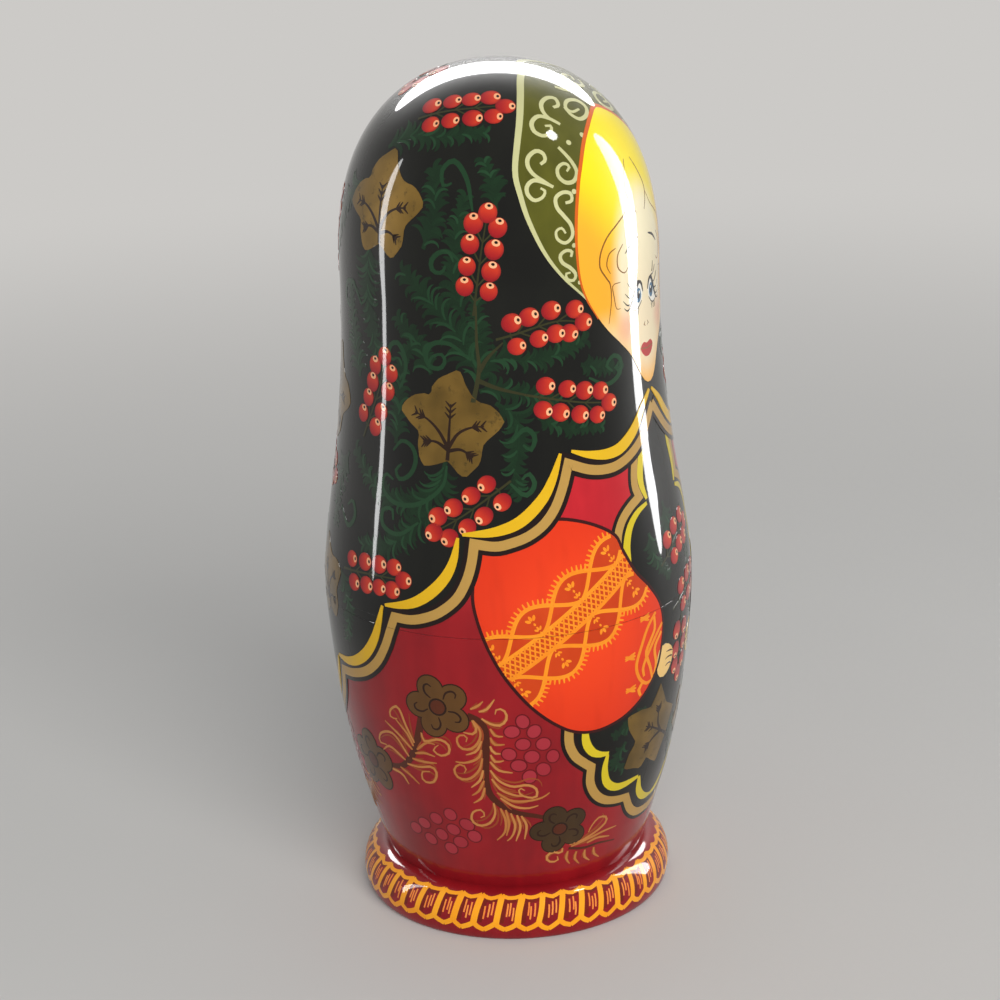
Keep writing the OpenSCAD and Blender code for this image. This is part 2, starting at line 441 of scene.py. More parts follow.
# Places read off the doll: angle from the front in degrees, height on the largest doll in millimetres.
# The left half is given and the right half mirrors it.
BORDER_TAN = [
    [(0, 136.6), (-7, 131), (-13, 127.6), (-20, 125.3), (-26, 124.6), (-33, 125.3), (-40.8, 127.6)],
    [(-40.8, 127.6), (-43, 122.5), (-46, 117.6), (-50, 113.8), (-55, 111.2), (-60, 109.8), (-65, 109),
     (-71.6, 109.6)],
    [(-71.6, 109.6), (-72.4, 105), (-74, 100.5), (-77, 96), (-82, 92.4), (-87, 90.4), (-92, 89.3),
     (-97.6, 89.2)],
    [(-97.6, 89.2), (-99.6, 85), (-102, 80.5), (-106, 75.6), (-112, 71.6), (-120, 69), (-128.4, 67.6)],
    [(-128.4, 67.6), (-131, 62), (-135, 57.5), (-141, 53.6), (-148, 51.4), (-155.6, 51.4)],
    [(-155.6, 51.4), (-163, 46), (-171, 42.8), (-180, 42)],
]
BORDER_YELLOW = [
    [(-1, 140.3), (-6.5, 136.4), (-10, 133.6), (-14, 131), (-20, 128.5), (-26, 127.9), (-33, 128.7),
     (-39.3, 130.5)],
    [(-43.2, 130.3), (-46, 124.2), (-50, 119.3), (-57, 114.5), (-65, 112.2), (-75.3, 111.7)],
    [(-76.7, 110.9), (-77.8, 105), (-80.5, 100.5), (-85, 96.5), (-90, 93.7), (-95, 92.3),
     (-101.2, 91.7)],
    [(-102.3, 91.3), (-103.8, 86), (-106, 81.6), (-110, 77), (-116, 73.3), (-123, 71.2), (-131.4, 70.9)],
    [(-132.6, 70), (-134.6, 65.5), (-138, 61), (-143, 57.2), (-150, 54.8), (-158.4, 54.6)],
    [(-159.6, 53.4), (-166, 49), (-173, 46.3), (-180, 45.5)],
]
BIB_TAN = [
    [(-12.8, 128.6), (-14.2, 124.4), (-15.2, 121), (-15.4, 118.2), (-14.2, 115.6)],
    [(-14.2, 115.6), (-19, 113.8), (-23, 111.2), (-25.4, 107.5), (-26, 103), (-27, 98), (-27.6, 92),
     (-27, 86)],
]
BIB_YELLOW = [
    [(-9.4, 129.6), (-10.9, 124.4), (-12.1, 121), (-12.2, 118), (-10.6, 114.4)],
    [(-10.9, 113.4), (-16, 112), (-20, 109.2), (-22.2, 105), (-22.6, 101), (-23.2, 97), (-24, 92),
     (-23.5, 86)],
]
APRON_TAN = [
    [(-43.8, 62), (-43.7, 56), (-41.6, 52), (-38.6, 49.6), (-35.4, 47.6)],
    [(-35.4, 47.6), (-35.3, 43), (-32.8, 39), (-28.6, 36.3), (-23.5, 35), (-17.8, 34.4)],
    [(-17.8, 34.4), (-14, 30), (-9, 27.3), (-4, 26.5), (0, 26.3)],
]
APRON_YELLOW = [
    [(-38.6, 61), (-37.9, 55.4), (-35.4, 52), (-32, 50.6), (-29, 50.4)],
    [(-29.4, 50), (-30, 46), (-28.8, 42), (-25.6, 39.6), (-21, 38.8), (-13, 39.4)],
    [(-12.4, 39.2), (-11, 35), (-7.5, 32), (-3.5, 30.6), (0, 30.2)],
]
SLEEVE = [
    (-70.6, 108.6), (-60, 109.6), (-50, 113.6), (-44.8, 114.6), (-35, 112.4), (-26.6, 108.4),
    (-24, 104), (-20, 98), (-14.6, 93), (-10, 87.6), (-8.1, 82), (-8.3, 76), (-10, 70), (-14.5, 64.8),
    (-20.5, 61.2), (-27, 59), (-34.8, 58), (-42, 59), (-48.5, 62), (-55, 66.6), (-60.4, 72), (-65, 78),
    (-68.8, 85), (-71.2, 91.5), (-72.2, 96.5), (-71.6, 102.5),
]
HAND = [
    (-10.2, 71), (-9.6, 74.2), (-6.4, 75.4), (-3.2, 74.4), (-0.9, 72.6), (-0.5, 70.8), (-1.2, 68.6),
    (-3.4, 66.8), (-6.4, 66), (-9, 67.4),
]
FACE = [
    (0, 208.8), (-8, 207.4), (-15.5, 205), (-21.5, 202), (-26, 198), (-29.8, 193), (-32.6, 186),
    (-33.6, 179), (-33, 172), (-30.5, 166.6), (-26, 161.4), (-21.5, 157.6), (-16, 154), (-11, 150.6),
    (-8, 147.6), (-5.2, 144.4), (-2.6, 142.6), (0, 142),
]
KERCHIEF = [
    (-30.6, 166.4), (-39.3, 172.4), (-45.9, 178.8), (-50.9, 186.6), (-53.7, 193.8), (-54.3, 198),
    (-52.6, 203), (-49.8, 208), (-46.4, 212.4), (-41, 215.9), (-32, 217.8), (-18, 219), (0, 219.3),
]
# Sprays of berries from the tip back along the stalk
SPRAYS = [
    [(-55, 211.3), (-74, 211), (-95, 209.5)],
    [(-64.8, 188.8), (-67.3, 180), (-69.9, 168)],
    [(-32, 161.2), (-43, 162.2), (-58.5, 159.6)],
    [(-23, 140.5), (-34.5, 141.9), (-49.5, 144.4)],
    [(-105.5, 153), (-108.4, 144.5), (-114.5, 134.6)],
    [(-84.8, 111.6), (-75, 116.3), (-63.6, 122.6)],
    [(-94.3, 98.9), (-105, 98.5), (-118, 97.4)],
    [(-146, 189), (-151, 181), (-155, 170)],
    [(-139, 117), (-149, 120), (-163, 124)],
    [(-176, 78), (-170, 87), (-163, 95)],
    [(-137, 213.5), (-140, 215.6), (-146, 217.6)],
]
# Leaves: place, turn in degrees and size
LEAVES = [(-109, 190, 8, 0.98), (-80.4, 139.5, 0, 1.0), (-146, 141, -10, 1.0), (-138, 92, 20, 0.86)]
BACK_LEAVES = [(180, 158, 0, 1.15), (180, 106, 180, 1.0)]
APRON_LEAVES = [(-9.5, 52.5, 0, 1.0), (19.5, 50.5, -100, 0.7)]
# Fronds: places along the spine and the length of a stroke
FERNS = [
    ([(-70.4, 147), (-69.1, 154), (-69.6, 167)], 6.5),
    ([(-69.4, 151.3), (-71.9, 153.8), (-75.8, 159.5), (-81.7, 164.4), (-87.8, 169.1), (-96, 174)], 8.5),
    ([(-68.5, 151.3), (-64.9, 153.8), (-58.6, 154.1), (-51.1, 153.3), (-40.7, 154.7), (-32, 157)], 6),
    ([(-69.3, 146.3), (-63.5, 147.1), (-55.5, 145.6), (-43, 143)], 5.5),
    ([(-64, 143.5), (-57.4, 139.6), (-57.3, 132.8), (-58.6, 126.7), (-56.7, 121)], 7),
    ([(-81, 129), (-84, 122.5), (-91, 118.5), (-100, 118), (-110, 121), (-120, 127)], 7),
    ([(-74, 164), (-77, 174), (-76, 184), (-73, 192)], 6),
    ([(-62, 189), (-62.6, 194), (-66, 200)], 5),
    ([(-112, 180), (-114, 168), (-112, 158), (-108, 151)], 7),
    ([(-100, 132), (-99, 142), (-98, 151), (-93, 157)], 5.5),
    ([(-84, 118), (-92, 112), (-100, 107), (-112, 105)], 7),
    ([(-50, 139.6), (-42, 136.6), (-27, 135.2)], 4.2),
    ([(-34, 151), (-26, 149.5), (-17, 148)], 4),
    ([(-112, 202), (-100, 205), (-86, 205), (-66, 206)], 6),
    ([(-122, 194), (-134, 187), (-143, 176)], 7),
    ([(-120, 146), (-125, 157), (-126, 168)], 7),
    ([(-126, 126), (-132, 117), (-132, 107)], 7),
    ([(-150, 151), (-158, 160), (-166, 170), (-170, 182)], 7.5),
    ([(-155, 135), (-165, 130), (-174, 121)], 7),
    ([(-150, 104), (-158, 98), (-160, 88), (-154, 78)], 7),
    ([(-124, 96), (-119, 88), (-121, 79)], 5.5),
    ([(-86, 150), (-92, 158), (-99, 163)], 6),
    ([(-88, 180), (-84, 188), (-86, 198)], 6),
]
FLOWERS = [
    (-84.8, 66.6, 0.95, "flower_brown"), (-45.4, 30.2, 0.83, "flower_deep"),
    (-118, 44.5, 0.95, "flower_brown"), (-156, 25.5, 0.8, "flower_deep"),
]
STEMS = [
    [(-75.5, 64.9), (-72.1, 63.6), (-70.4, 61.5), (-70.1, 57.6), (-70.7, 51.5), (-70.9, 46.4),
     (-69.8, 42.3), (-66.5, 39.2), (-61.3, 36.7), (-54.7, 35.3), (-50, 34.2)],
    [(-90.8, 63), (-92.7, 57.8), (-94.8, 53.4), (-98.2, 49.2), (-102.7, 46.4), (-110.6, 45.5)],
    [(-122, 40), (-128, 33.5), (-138, 28.5), (-150, 26.5)],
    [(-163, 24), (-171, 21.5), (-180, 20.8)],
]
TWIG = [(-41, 23.2), (-34.5, 22.2), (-27.3, 22.3), (-18.8, 21.3)]
GRASS = [
    [(-74.3, 66.9), (-71.8, 68), (-70.3, 69.2)],
    [(-71.7, 66.3), (-69.2, 67.1), (-66.8, 69.8)],
    [(-71, 64.4), (-68.4, 63), (-65.3, 62.6), (-63.3, 64.5), (-64, 66.7), (-66.1, 67.2), (-66.8, 65.7)],
    [(-68.5, 61.6), (-67, 59.6), (-64.6, 59.4)],
    [(-68.6, 59.1), (-67.4, 57.1), (-64.2, 57.1)],
    [(-68.8, 56.6), (-67.8, 54.7), (-65.6, 54.4)],
    [(-68.8, 54.1), (-67.5, 52.1), (-64.7, 52.4)],
    [(-69.1, 52.1), (-66.5, 49.6), (-62, 48.8)],
    [(-69.2, 49.6), (-66.6, 46.5), (-62.2, 44.7), (-57.6, 45), (-54.5, 43.8), (-54.2, 41.4),
     (-56.5, 41.1), (-59.7, 42.3), (-60, 44.2), (-58.2, 43.4)],
    [(-68.9, 47), (-66.2, 43.9), (-61.7, 42.1), (-57.7, 41.6)],
    [(-67.4, 42.9), (-62.9, 40.5), (-57.7, 40.1), (-52.4, 40.8), (-49.8, 42.1)],
    [(-66.4, 41.3), (-61.8, 38.6), (-57.1, 37.9), (-53.6, 38.5)],
    [(-73.7, 63.8), (-71.7, 61), (-72.2, 58), (-74.9, 55.6), (-78.3, 55.6), (-79.4, 58), (-77.9, 59.4),
     (-76, 59), (-76.4, 57.5)],
    [(-74, 63.8), (-72.8, 61.4), (-74, 59.9), (-77, 60.2)],
    [(-71.4, 58), (-73.3, 55), (-76.8, 53.7)],
    [(-71.6, 55.5), (-72.9, 53), (-77, 51.4), (-80.5, 51.4)],
    [(-71.5, 53), (-72.9, 49.4), (-76.3, 46.7), (-79.9, 46.6), (-81.3, 48.8), (-79.4, 50.7),
     (-77.1, 49.9), (-77.9, 48.3)],
    [(-71.5, 49.5), (-72.9, 46.4), (-76, 44.1)],
    [(-71.5, 46.4), (-73.5, 43.2), (-76, 41.7)],
    [(-71.4, 44.3), (-72.8, 41.1), (-75.7, 39.4)],
    [(-68.8, 39.7), (-68.5, 36.5), (-70.6, 33.4), (-74.5, 32.3), (-77.1, 33.8), (-76.4, 36.4),
     (-73.5, 37.4), (-72.2, 35.8), (-73.8, 34.9)],
    [(-66.6, 38.1), (-65, 34.3), (-65.6, 30.4), (-68.6, 27.8)],
    [(-63.1, 36.5), (-61.7, 32.6), (-62.8, 29.3), (-64.8, 27.6)],
    [(-64.8, 37.6), (-63.9, 33.2), (-65, 29.3)],
    [(-59.5, 35.6), (-57.7, 32.4), (-58.4, 28)],
    [(-61, 35.9), (-59.9, 32), (-61.6, 27.5)],
    [(-94.8, 54.9), (-97.3, 59.4), (-98.7, 63), (-100.2, 64.3), (-103.1, 62.6), (-103.2, 60.6),
     (-100.6, 60.7)],
    [(-96, 52.7), (-100.9, 56.2), (-106.3, 58.9)],
    [(-97.9, 50.3), (-103.2, 55.7), (-109.2, 54.7), (-111.1, 51.7), (-107.6, 51.6)],
    [(-99.7, 48.9), (-105.9, 51.5), (-110, 49.5)],
    [(-95.4, 53.8), (-97.1, 57), (-101.3, 60.5)],
    [(-91.6, 58.4), (-90.7, 56.1), (-85.6, 57.3), (-82.5, 56.2), (-82.5, 53.7), (-85.7, 52.6),
     (-87.9, 54), (-85.9, 55.6)],
    [(-94.2, 53), (-90.1, 55.7), (-87.1, 55.6)],
    [(-95.1, 51.8), (-91.3, 52.5), (-87.6, 52)],
    [(-96.6, 50), (-92.5, 49.8), (-87.3, 50.1)],
    [(-99.2, 47.9), (-94.2, 47.9), (-89.4, 48.7), (-87.8, 46.9), (-89.7, 44.1), (-93.4, 43.9),
     (-93.5, 46.5), (-90.3, 47.2)],
    [(-108.2, 44.8), (-102.6, 44.1), (-100.3, 41.5)],
    [(-102.7, 46.2), (-98.6, 44.5), (-95.5, 42.5)],
    [(-40.8, 24.4), (-35.1, 25.1), (-29.3, 26.7), (-25.8, 28.6), (-26.3, 30.4), (-29.6, 30.9),
     (-32.2, 28.9), (-33.2, 27)],
    [(-40, 23.7), (-33.5, 24.8), (-25.8, 25.8), (-19.7, 25.9)],
    [(-33.2, 23.6), (-28.7, 24.3), (-22.4, 23.4)],
    [(-41.2, 22.3), (-41.6, 20), (-39.8, 18)],
    [(-37.4, 21.6), (-37.8, 19.4), (-35.4, 17.3)],
    [(-33.6, 21.4), (-33.4, 19.2), (-30.5, 17.4)],
    [(-29.5, 21.4), (-28.9, 19.3), (-25.8, 17.5)],
    [(-43.6, 23.7), (-44.1, 22.1), (-47.6, 22.9), (-49.9, 21.4), (-48.4, 19.8), (-45.2, 19.7),
     (-45.4, 21.2)],
]
GRAPES_SIDE = [
    (-2, 8), (-4.7, 5.2), (0.8, 5), (-2, 1.5), (3.1, 1.2), (-5.5, -1.3), (0.2, -2.3), (5.5, -2.7),
    (-3.1, -4.7), (3.1, -6.3), (-0.4, -8.2),
]
GRAPES_LOW = [
    (2.8, 6), (-1.7, 3.7), (6.9, 3.3), (-5.9, 1), (2.8, 1), (8.3, -0.4), (-9.3, -1.7), (-1, -1.5),
    (4.1, -3), (-4.8, -4), (1, -5.7),
]
GRAPES = [(-56, 55.5, GRAPES_SIDE, 1.75), (-89, 29, GRAPES_LOW, 1.75), (-136, 43.5, GRAPES_SIDE, 1.6)]
APRON_FERNS = [
    ([(-2, 112), (0, 104), (3, 96)], 6),
    ([(-12, 106), (-10, 99), (-4, 94)], 5),
    ([(12, 108), (14, 100), (12, 92)], 6),
    ([(10, 88), (16, 82), (22, 74)], 6),
    ([(-22, 52), (-26, 47), (-22, 44)], 4),
    ([(18, 60), (26, 54), (30, 48)], 5.5),
    ([(2, 52), (8, 46), (12, 38)], 5),
    ([(-14, 60), (-20, 57), (-27, 55)], 4),
]
APRON_SPRAYS = [
    [(21, 87.4), (12, 87), (2, 84.4)],
    [(6, 63.4), (5.6, 71), (5.2, 80)],
    [(15, 103), (6, 102), (-4, 98)],
]
LEAF_RIM = [
    (0, -10.3), (-3, -11.4), (-6, -12.1), (-7.4, -10.3), (-7.9, -6.6), (-7.4, -3.8), (-10, -1.8),
    (-12.9, 1.2), (-11.4, 3.4), (-8.8, 5.2), (-5.8, 5.8), (-4.2, 5.4), (-3.9, 7.6), (-2.1, 9.8),
    (0.6, 11), (3, 12.2), (3.8, 10.8), (4.5, 8.5), (6.2, 5.6), (7.8, 4.2), (10.4, 3.6), (12.4, 1.9),
    (14, -0.6), (12.4, -2.8), (10, -4.8), (8.7, -6.2), (8.5, -8.4), (8, -10.8), (6.2, -12.6),
    (4.4, -14.3), (2.7, -13.2), (1.2, -11.4),
]
LEAF_VEINS = [
    [(0, -10.2), (0.2, -7.4), (0.5, -2), (0.9, 3.6)],
    [(0.2, -7.2), (-2.2, -3.2), (-5, -0.6), (-8.6, 1)],
    [(0.2, -7.6), (-3, -5.8), (-6.4, -6)],
    [(0.3, -7), (2.6, -3.6), (5.6, -2), (9, -1.6)],
    [(0.3, -7.8), (3.4, -7.4), (6.4, -9.2)],
]
ROUND_LEAF = (LEAF_RIM, LEAF_VEINS)
# The apron's leaf lies on its side, its stem to the right.
LYING_LEAF = (
    [
        (2.3, 12), (0.6, 9.4), (-1.5, 6.5), (-5.2, 7.2), (-10.3, 6.7), (-9.9, 4.6), (-9.2, 2.5),
        (-6, -1.9), (-8, -4.8), (-9.2, -9), (-5.4, -9.8), (-2.6, -10.9), (-0.4, -8.3), (2, -10.2),
        (5, -12), (6.6, -8.6), (8.6, -5.6), (10, -2), (11.9, 2.4), (9, 3.8), (6.4, 5.2), (4.4, 8.6),
    ],
    [
        [(9.8, -5.6), (7.4, -4), (4.9, -2.5), (1, -0.2), (-2.7, 1.5)],
        [(4.9, -2.5), (3, 0.6), (2.4, 5.7)],
        [(4.9, -2.5), (1.4, -3.4), (-1.9, -5.3)],
    ],
)


CUFF = [
    [(-12.2, 85.6), (-15.8, 82.5), (-18.3, 78.1), (-20.2, 73.1), (-18.5, 69.1), (-15.1, 66.9),
     (-12.1, 67.3)],
    [(-8.6, 81.9), (-11.6, 79.3), (-14.6, 75.9), (-17.1, 71.9), (-16.4, 69.2)],
    [(-12.9, 84.6), (-12.5, 81.2), (-14.5, 78.4), (-16.1, 75.4), (-13.7, 71), (-12.1, 67.3)],
    [(-9, 79.6), (-12, 76), (-10.8, 71.4), (-11.5, 68.4)],
    [(-16.9, 67.6), (-18.5, 65.9), (-17.4, 64)],
]
CUFF_SPRIGS = [(-23.4, 75.9), (-22.4, 66.8), (-17.6, 85.2)]


KERCHIEF_SCROLLS = [
    [(-44.2, 198.7), (-42, 199.5), (-42.4, 201), (-45.2, 201.6), (-48.6, 200.4), (-49.3, 198.6),
     (-47.6, 196.7), (-44.2, 195.1), (-40.5, 193.5)],
    [(-40.5, 193.5), (-44.5, 194.8), (-47.9, 195.3), (-50.4, 194.1), (-50.4, 192.3), (-48.2, 190.9),
     (-45.2, 191.4), (-43.9, 192.7), (-45.5, 193.5)],
    [(-35.1, 202), (-32.8, 200.3), (-30.7, 198.3), (-29.8, 196.1), (-31.9, 194.3), (-35.3, 194.2),
     (-37.8, 195.7), (-37.5, 197.5), (-34.6, 198.4), (-32.5, 197.6), (-34, 196.6)],
    [(-36.7, 189.7), (-34.2, 190), (-34.1, 191.6), (-37.1, 192.1), (-40.2, 191), (-40.1, 188.8),
     (-37.9, 186.8), (-35.5, 184.5), (-35.4, 182), (-38.1, 180.6), (-40.9, 181.6), (-41.3, 183.4),
     (-39.2, 184.1), (-37.8, 182.8)],
    [(-36.4, 177.2), (-36, 178.4), (-38.2, 178.8), (-40.3, 177.8), (-39.7, 176.1), (-36.6, 174.5),
     (-34.9, 172.9), (-35.8, 171.6), (-38, 172), (-38.5, 173.3), (-36.8, 173.5)],
    [(-29.5, 210.3), (-25.8, 210.6), (-25, 212), (-30, 212.3), (-35.3, 211.3), (-36.4, 209.6),
     (-34.2, 208), (-30.3, 206.7)],
    [(-30.3, 206.7), (-35, 208.2), (-40, 208.8), (-44.1, 207.6), (-44, 205.8), (-40.6, 204.7),
     (-36.9, 205.1), (-35.2, 206.5), (-38.2, 206.7)],
    [(-22.8, 210.1), (-21.6, 208.4), (-17.8, 207.2), (-11.9, 207.8), (-8.3, 209.4), (-11.3, 211),
     (-18.1, 211.2), (-22.1, 210), (-19.9, 208.9), (-14.1, 209.2)],
    [(-18, 214.2), (-11, 213.2), (-5, 213.8), (-3, 215.2), (-9, 216), (-14, 215.4), (-11, 214.6)],
]
KERCHIEF_DOTS = [
    (-21.3, 203.9), (-32.6, 192), (-35, 179.8), (-29.6, 202.7), (-33.4, 170.9), (-14.5, 205.8),
    (0, 211.4),
]


FERN_SPIRALS = [
    [(-75.1, 177.6), (-78, 179.4), (-81.7, 179.5), (-84.9, 177.4), (-84.3, 175), (-81.2, 174.7),
     (-79.8, 176.4)],
    [(-72.5, 154), (-76.6, 156.6), (-80.2, 157.8), (-85.2, 157.5), (-88, 154.9), (-86.7, 152),
     (-82.8, 151.6), (-80.9, 153.6), (-82.7, 155.2), (-85, 154.2)],
    [(-80.6, 128.1), (-81.7, 123.5), (-86.4, 119.8), (-92.5, 117.6), (-100, 117.6), (-105, 120.5),
     (-104, 124), (-100.5, 123)],
    [(-101, 130.2), (-97.5, 132.9), (-93.3, 131.8), (-91.8, 128.6), (-93.7, 125.1), (-97.7, 123.4),
     (-99.6, 125.4), (-97.4, 127.2)],
    [(-31, 147.5), (-24, 145), (-18, 146.6), (-16.6, 150), (-20, 151.6), (-23.4, 149.6), (-20.8, 147.9)],
    [(-70.2, 189), (-72.5, 196), (-78, 200), (-82.4, 198), (-81.4, 194.6), (-78.2, 195.2)],
    [(-98, 146), (-96, 152), (-99, 156.6), (-103, 155.6), (-102.6, 152.4), (-100, 153)],
    [(-59, 134), (-54.6, 137), (-51.4, 134.8), (-53, 131.8), (-55.4, 133.2)],
    [(-60, 124), (-55.4, 121), (-52.2, 123.4), (-54, 126.2), (-56.2, 124.8)],
    [(-90, 113.6), (-97, 110), (-103.4, 111.2), (-104.2, 115), (-100.4, 115.8), (-99.6, 113.2)],
    [(-118, 164), (-124, 169), (-130, 168), (-131, 164), (-127, 162.6), (-126, 165.4)],
    [(-150, 158), (-157, 155), (-163, 158), (-162, 162), (-158, 161.4)],
    [(-128, 112), (-122, 108), (-118, 111), (-120, 114.6), (-123.4, 113)],
]
FERN_STALKS = [
    [(-71.6, 143.6), (-70.2, 147.6), (-69.2, 152.2), (-69.8, 158), (-69.7, 167)],
    [(-69.4, 151), (-66, 154.6), (-61, 158)],
    [(-69.8, 149), (-63, 147), (-52, 144.8)],
]


# Lines of the face: places and the width at the start, the middle and the end
CURLS = [
    ([(-2.6, 197), (-6, 193), (-7.6, 189.6), (-5.8, 186.6), (-3.4, 184.4)], (0.2, 0.4, 0.2)),
    ([(-7.4, 188.4), (-10.5, 185.2), (-15.5, 183), (-21, 180.4), (-24.4, 177), (-25, 173.6),
      (-22.4, 170.8), (-20.6, 169), (-20.2, 165), (-21.6, 159.6)], (0.2, 0.45, 0.2)),
]
FINE_CURLS = [
    ([(-17.4, 177.4), (-20.6, 176.4), (-22, 173.8), (-20.4, 171.6)], (0.2, 0.38, 0.15)),
    ([(-13.6, 178), (-16.6, 175.6), (-16.6, 172.6), (-13.4, 171), (-11, 172.2)], (0.2, 0.38, 0.15)),
    ([(-15.6, 169), (-19.4, 168.6), (-18.8, 165.6), (-17.8, 162.8), (-15.8, 162.6)], (0.15, 0.32, 0.15)),
]
NOSE = [(-0.9, 157.4), (-1.7, 156.6), (-0.7, 156.2)]
LIPS = [
    (-5, 151), (-2.6, 152.4), (-0.8, 151.9), (0, 152), (0.8, 151.9), (2.6, 152.4), (5, 151), (2.6, 149),
    (0, 148.5), (-2.6, 149),
]
MOUTH = [(-4.6, 151), (-2.2, 150.8), (0, 150.6)]
EYE = [
    (-10.2, 162), (-8.5, 163.9), (-6.8, 166), (-4.9, 167.4), (-3.2, 166.9), (-2.2, 165), (-3, 163),
    (-5.2, 161.7), (-8, 161.3),
]
PUPIL = (-5.2, 164.4)
UPPER_LID = [(-10.7, 161.7), (-8.5, 163.9), (-6.8, 166.1), (-4.9, 167.7), (-3.1, 167.1), (-2, 165)]
LOWER_LID = [(-9.6, 161.6), (-7.6, 161.1), (-5.2, 161.5), (-3, 162.9)]
LASHES = [
    ((-6.2, 168.8), (-7.3, 171.3)), ((-4.9, 167.9), (-9.7, 170)), ((-6.7, 165.9), (-11.8, 168.2)),
    ((-7.9, 164.4), (-13.2, 165.8)), ((-9.2, 162.8), (-14.3, 164.1)), ((-10.2, 162), (-13.8, 162.3)),
]
LOWER_LASHES = (-8.4, -6.8, -5.2)
LOWER_LASH = [(0, 161.2), (-0.4, 160.4), (-0.6, 159.6)]
BROW = [(-12.6, 175.6), (-8.4, 177.7), (-4.2, 178.6)]
FINGERS = [((-1, 72.2), (-5, 72.8)), ((-0.7, 70.6), (-5.4, 70.8)), ((-1.4, 68.8), (-5, 68.8))]
NECK, APRON_SIDE = [(0, 135.4), (-7, 130.4)], [(-36, 80), (-40, 74)]


def band(painting, paint, coats, places, widths, sides=BOTH):
    """A painted line through places on the doll."""
    middle = places[len(places) // 2]
    spot = Spot(*middle)
    painting.line(paint, coats, spot, curve(spot.canvas(places)), widths, sides)


def field(painting, paint, coats, places, sides=BOTH, centre=None, smooth_rim=True):
    """A painted field whose outline runs through places on the doll."""
    spot = Spot(*(centre or np.mean(places, axis=0)))
    rim = spot.canvas(places)
    painting.put(paint, coats, spot, fill(curve(rim, closed=True) if smooth_rim else rim), sides, (0, 0))


def chain(lobes):
    """Angle and length along the outline of a row of lobes, smooth along each and sharp between them."""
    laid = []
    for lobe in lobes:
        spot = Spot(*lobe[len(lobe) // 2])
        laid.append(spot.lay(curve(spot.canvas(lobe)))[:-1])
    end = lobes[-1][-1]
    laid.append([(math.radians(end[0]), float(rise_at(end[1])))])
    return np.vstack(laid)


def chain_places(lobes):
    """The same row as angles in degrees and heights."""
    return [(math.degrees(a), float(height_at(rise))) for a, rise in chain(lobes)]


def right_half(places):
    """The right half for a left half's places, from its far end back and without its two ends."""
    return [(-a, z) for a, z in places[1:-1]][::-1]


BELOW_SEAM, ABOVE_SEAM, GROUND_STEP = SEAM_Z - 3, SEAM_Z + 3, 2


def paint_grounds(painting):
    """The dress above the seam and the shawl's point below it, at the back."""
    edge = chain_places(BORDER_TAN)
    front = [p for p in edge if p[1] > BELOW_SEAM]
    right = [(-a, z) for a, z in front]
    foot = [(a, BELOW_SEAM) for a in np.arange(front[-1][0] + GROUND_STEP, right[-1][0], GROUND_STEP)]
    field(painting, "bodice_red", 1, right[1:][::-1] + front + foot, (LEFT,), (0, 100), False)
    back = [(a % 360, z) for a, z in edge if z < ABOVE_SEAM]
    rim = back + [(360 - a, z) for a, z in back[:-1]][::-1]
    top = [(a, ABOVE_SEAM) for a in np.arange(rim[-1][0] - GROUND_STEP, rim[0][0], -GROUND_STEP)]
    field(painting, "shawl_black", 1, rim + top, (LEFT,), (180, 70), False)


CRESCENT_TURN, CRESCENT_RISE = -0.25, 0.3
TAN_W, SHAWL_EDGE_W, APRON_EDGE_W = 2.4, 4.7, 4.4


def paint_border(painting):
    """The shawl's scalloped border: a dark edge, a tan band and a yellow crescent in each lobe."""
    path = chain(BORDER_TAN)
    painting.ribbon("liner_black", 9, path, SHAWL_EDGE_W)
    painting.ribbon("border_tan", 10, path, TAN_W)
    for lobe in BORDER_YELLOW:
        inner = [(a + CRESCENT_TURN, z + CRESCENT_RISE) for a, z in lobe[1:-1]]
        band(painting, "border_yellow", 10, [lobe[0], *inner, lobe[-1]], (0.7, 2.9, 0.7))


def paint_apron(painting):
    """The black apron and bib, with their scalloped borders."""
    left = NECK + chain_places(BIB_TAN) + APRON_SIDE + chain_places(APRON_TAN)
    field(painting, "shawl_black", 2, left + right_half(left), (LEFT,), (0, 75), False)
    for lobes in (BIB_TAN, APRON_TAN):
        painting.ribbon("liner_black", 3, chain(lobes), APRON_EDGE_W)
        painting.ribbon("border_tan", 4, chain(lobes), TAN_W)
    for lobe in BIB_YELLOW + APRON_YELLOW:
        band(painting, "apron_yellow", 4, lobe, (0.9, 2.3, 0.9))


SLEEVE_SPOT = Spot(-40, 86)


def paint_sleeves(painting):
    """The orange sleeves with a dark outline, and the hands."""
    spot = SLEEVE_SPOT
    rim = curve(spot.canvas(SLEEVE), closed=True)
    painting.put("sleeve_orange", 5, spot, fill(rim), BOTH, (0, 0))
    painting.line("liner_red", 8, spot, np.vstack([rim, rim[1:2]]), (0.8, 0.8, 0.8))
    field(painting, "hand_cream", 6, HAND)
    for start, end in FINGERS:
        knuckle = ((start[0] + end[0]) / 2, start[1] + 0.5)
        band(painting, "liner_red", 7, [start, knuckle, end], (0.3, 0.4, 0.15))


LACE_AT, LACE_TURN = (-45.6, 87.7), 35.5
LACE_PITCH, LACE_RAIL, LACE_REACH, LACE_STEP = 12.5, 2.45, 27.0, 0.5
LACE_ROWS = ((1, -4.9, 7.4), (-1, -5.1, 8.6))
ARCHES, ARCH_POWER = range(-3, 4), 0.8
NET_GAP, NET_LEAN = 1.5, 1.6
TOOTH_GAP, TOOTH = 1.1, 1.75
LINES_INSET, SHADE_INSET = 0.985, 0.99


def arch(x, rise):
    """Height over the rail of one arch of the lace, which reaches two pitches and overlaps the next."""
    near = np.abs(x) < LACE_PITCH
    return np.where(near, rise * (0.5 + 0.5 * np.cos(math.pi * x / LACE_PITCH)) ** ARCH_POWER, 0)


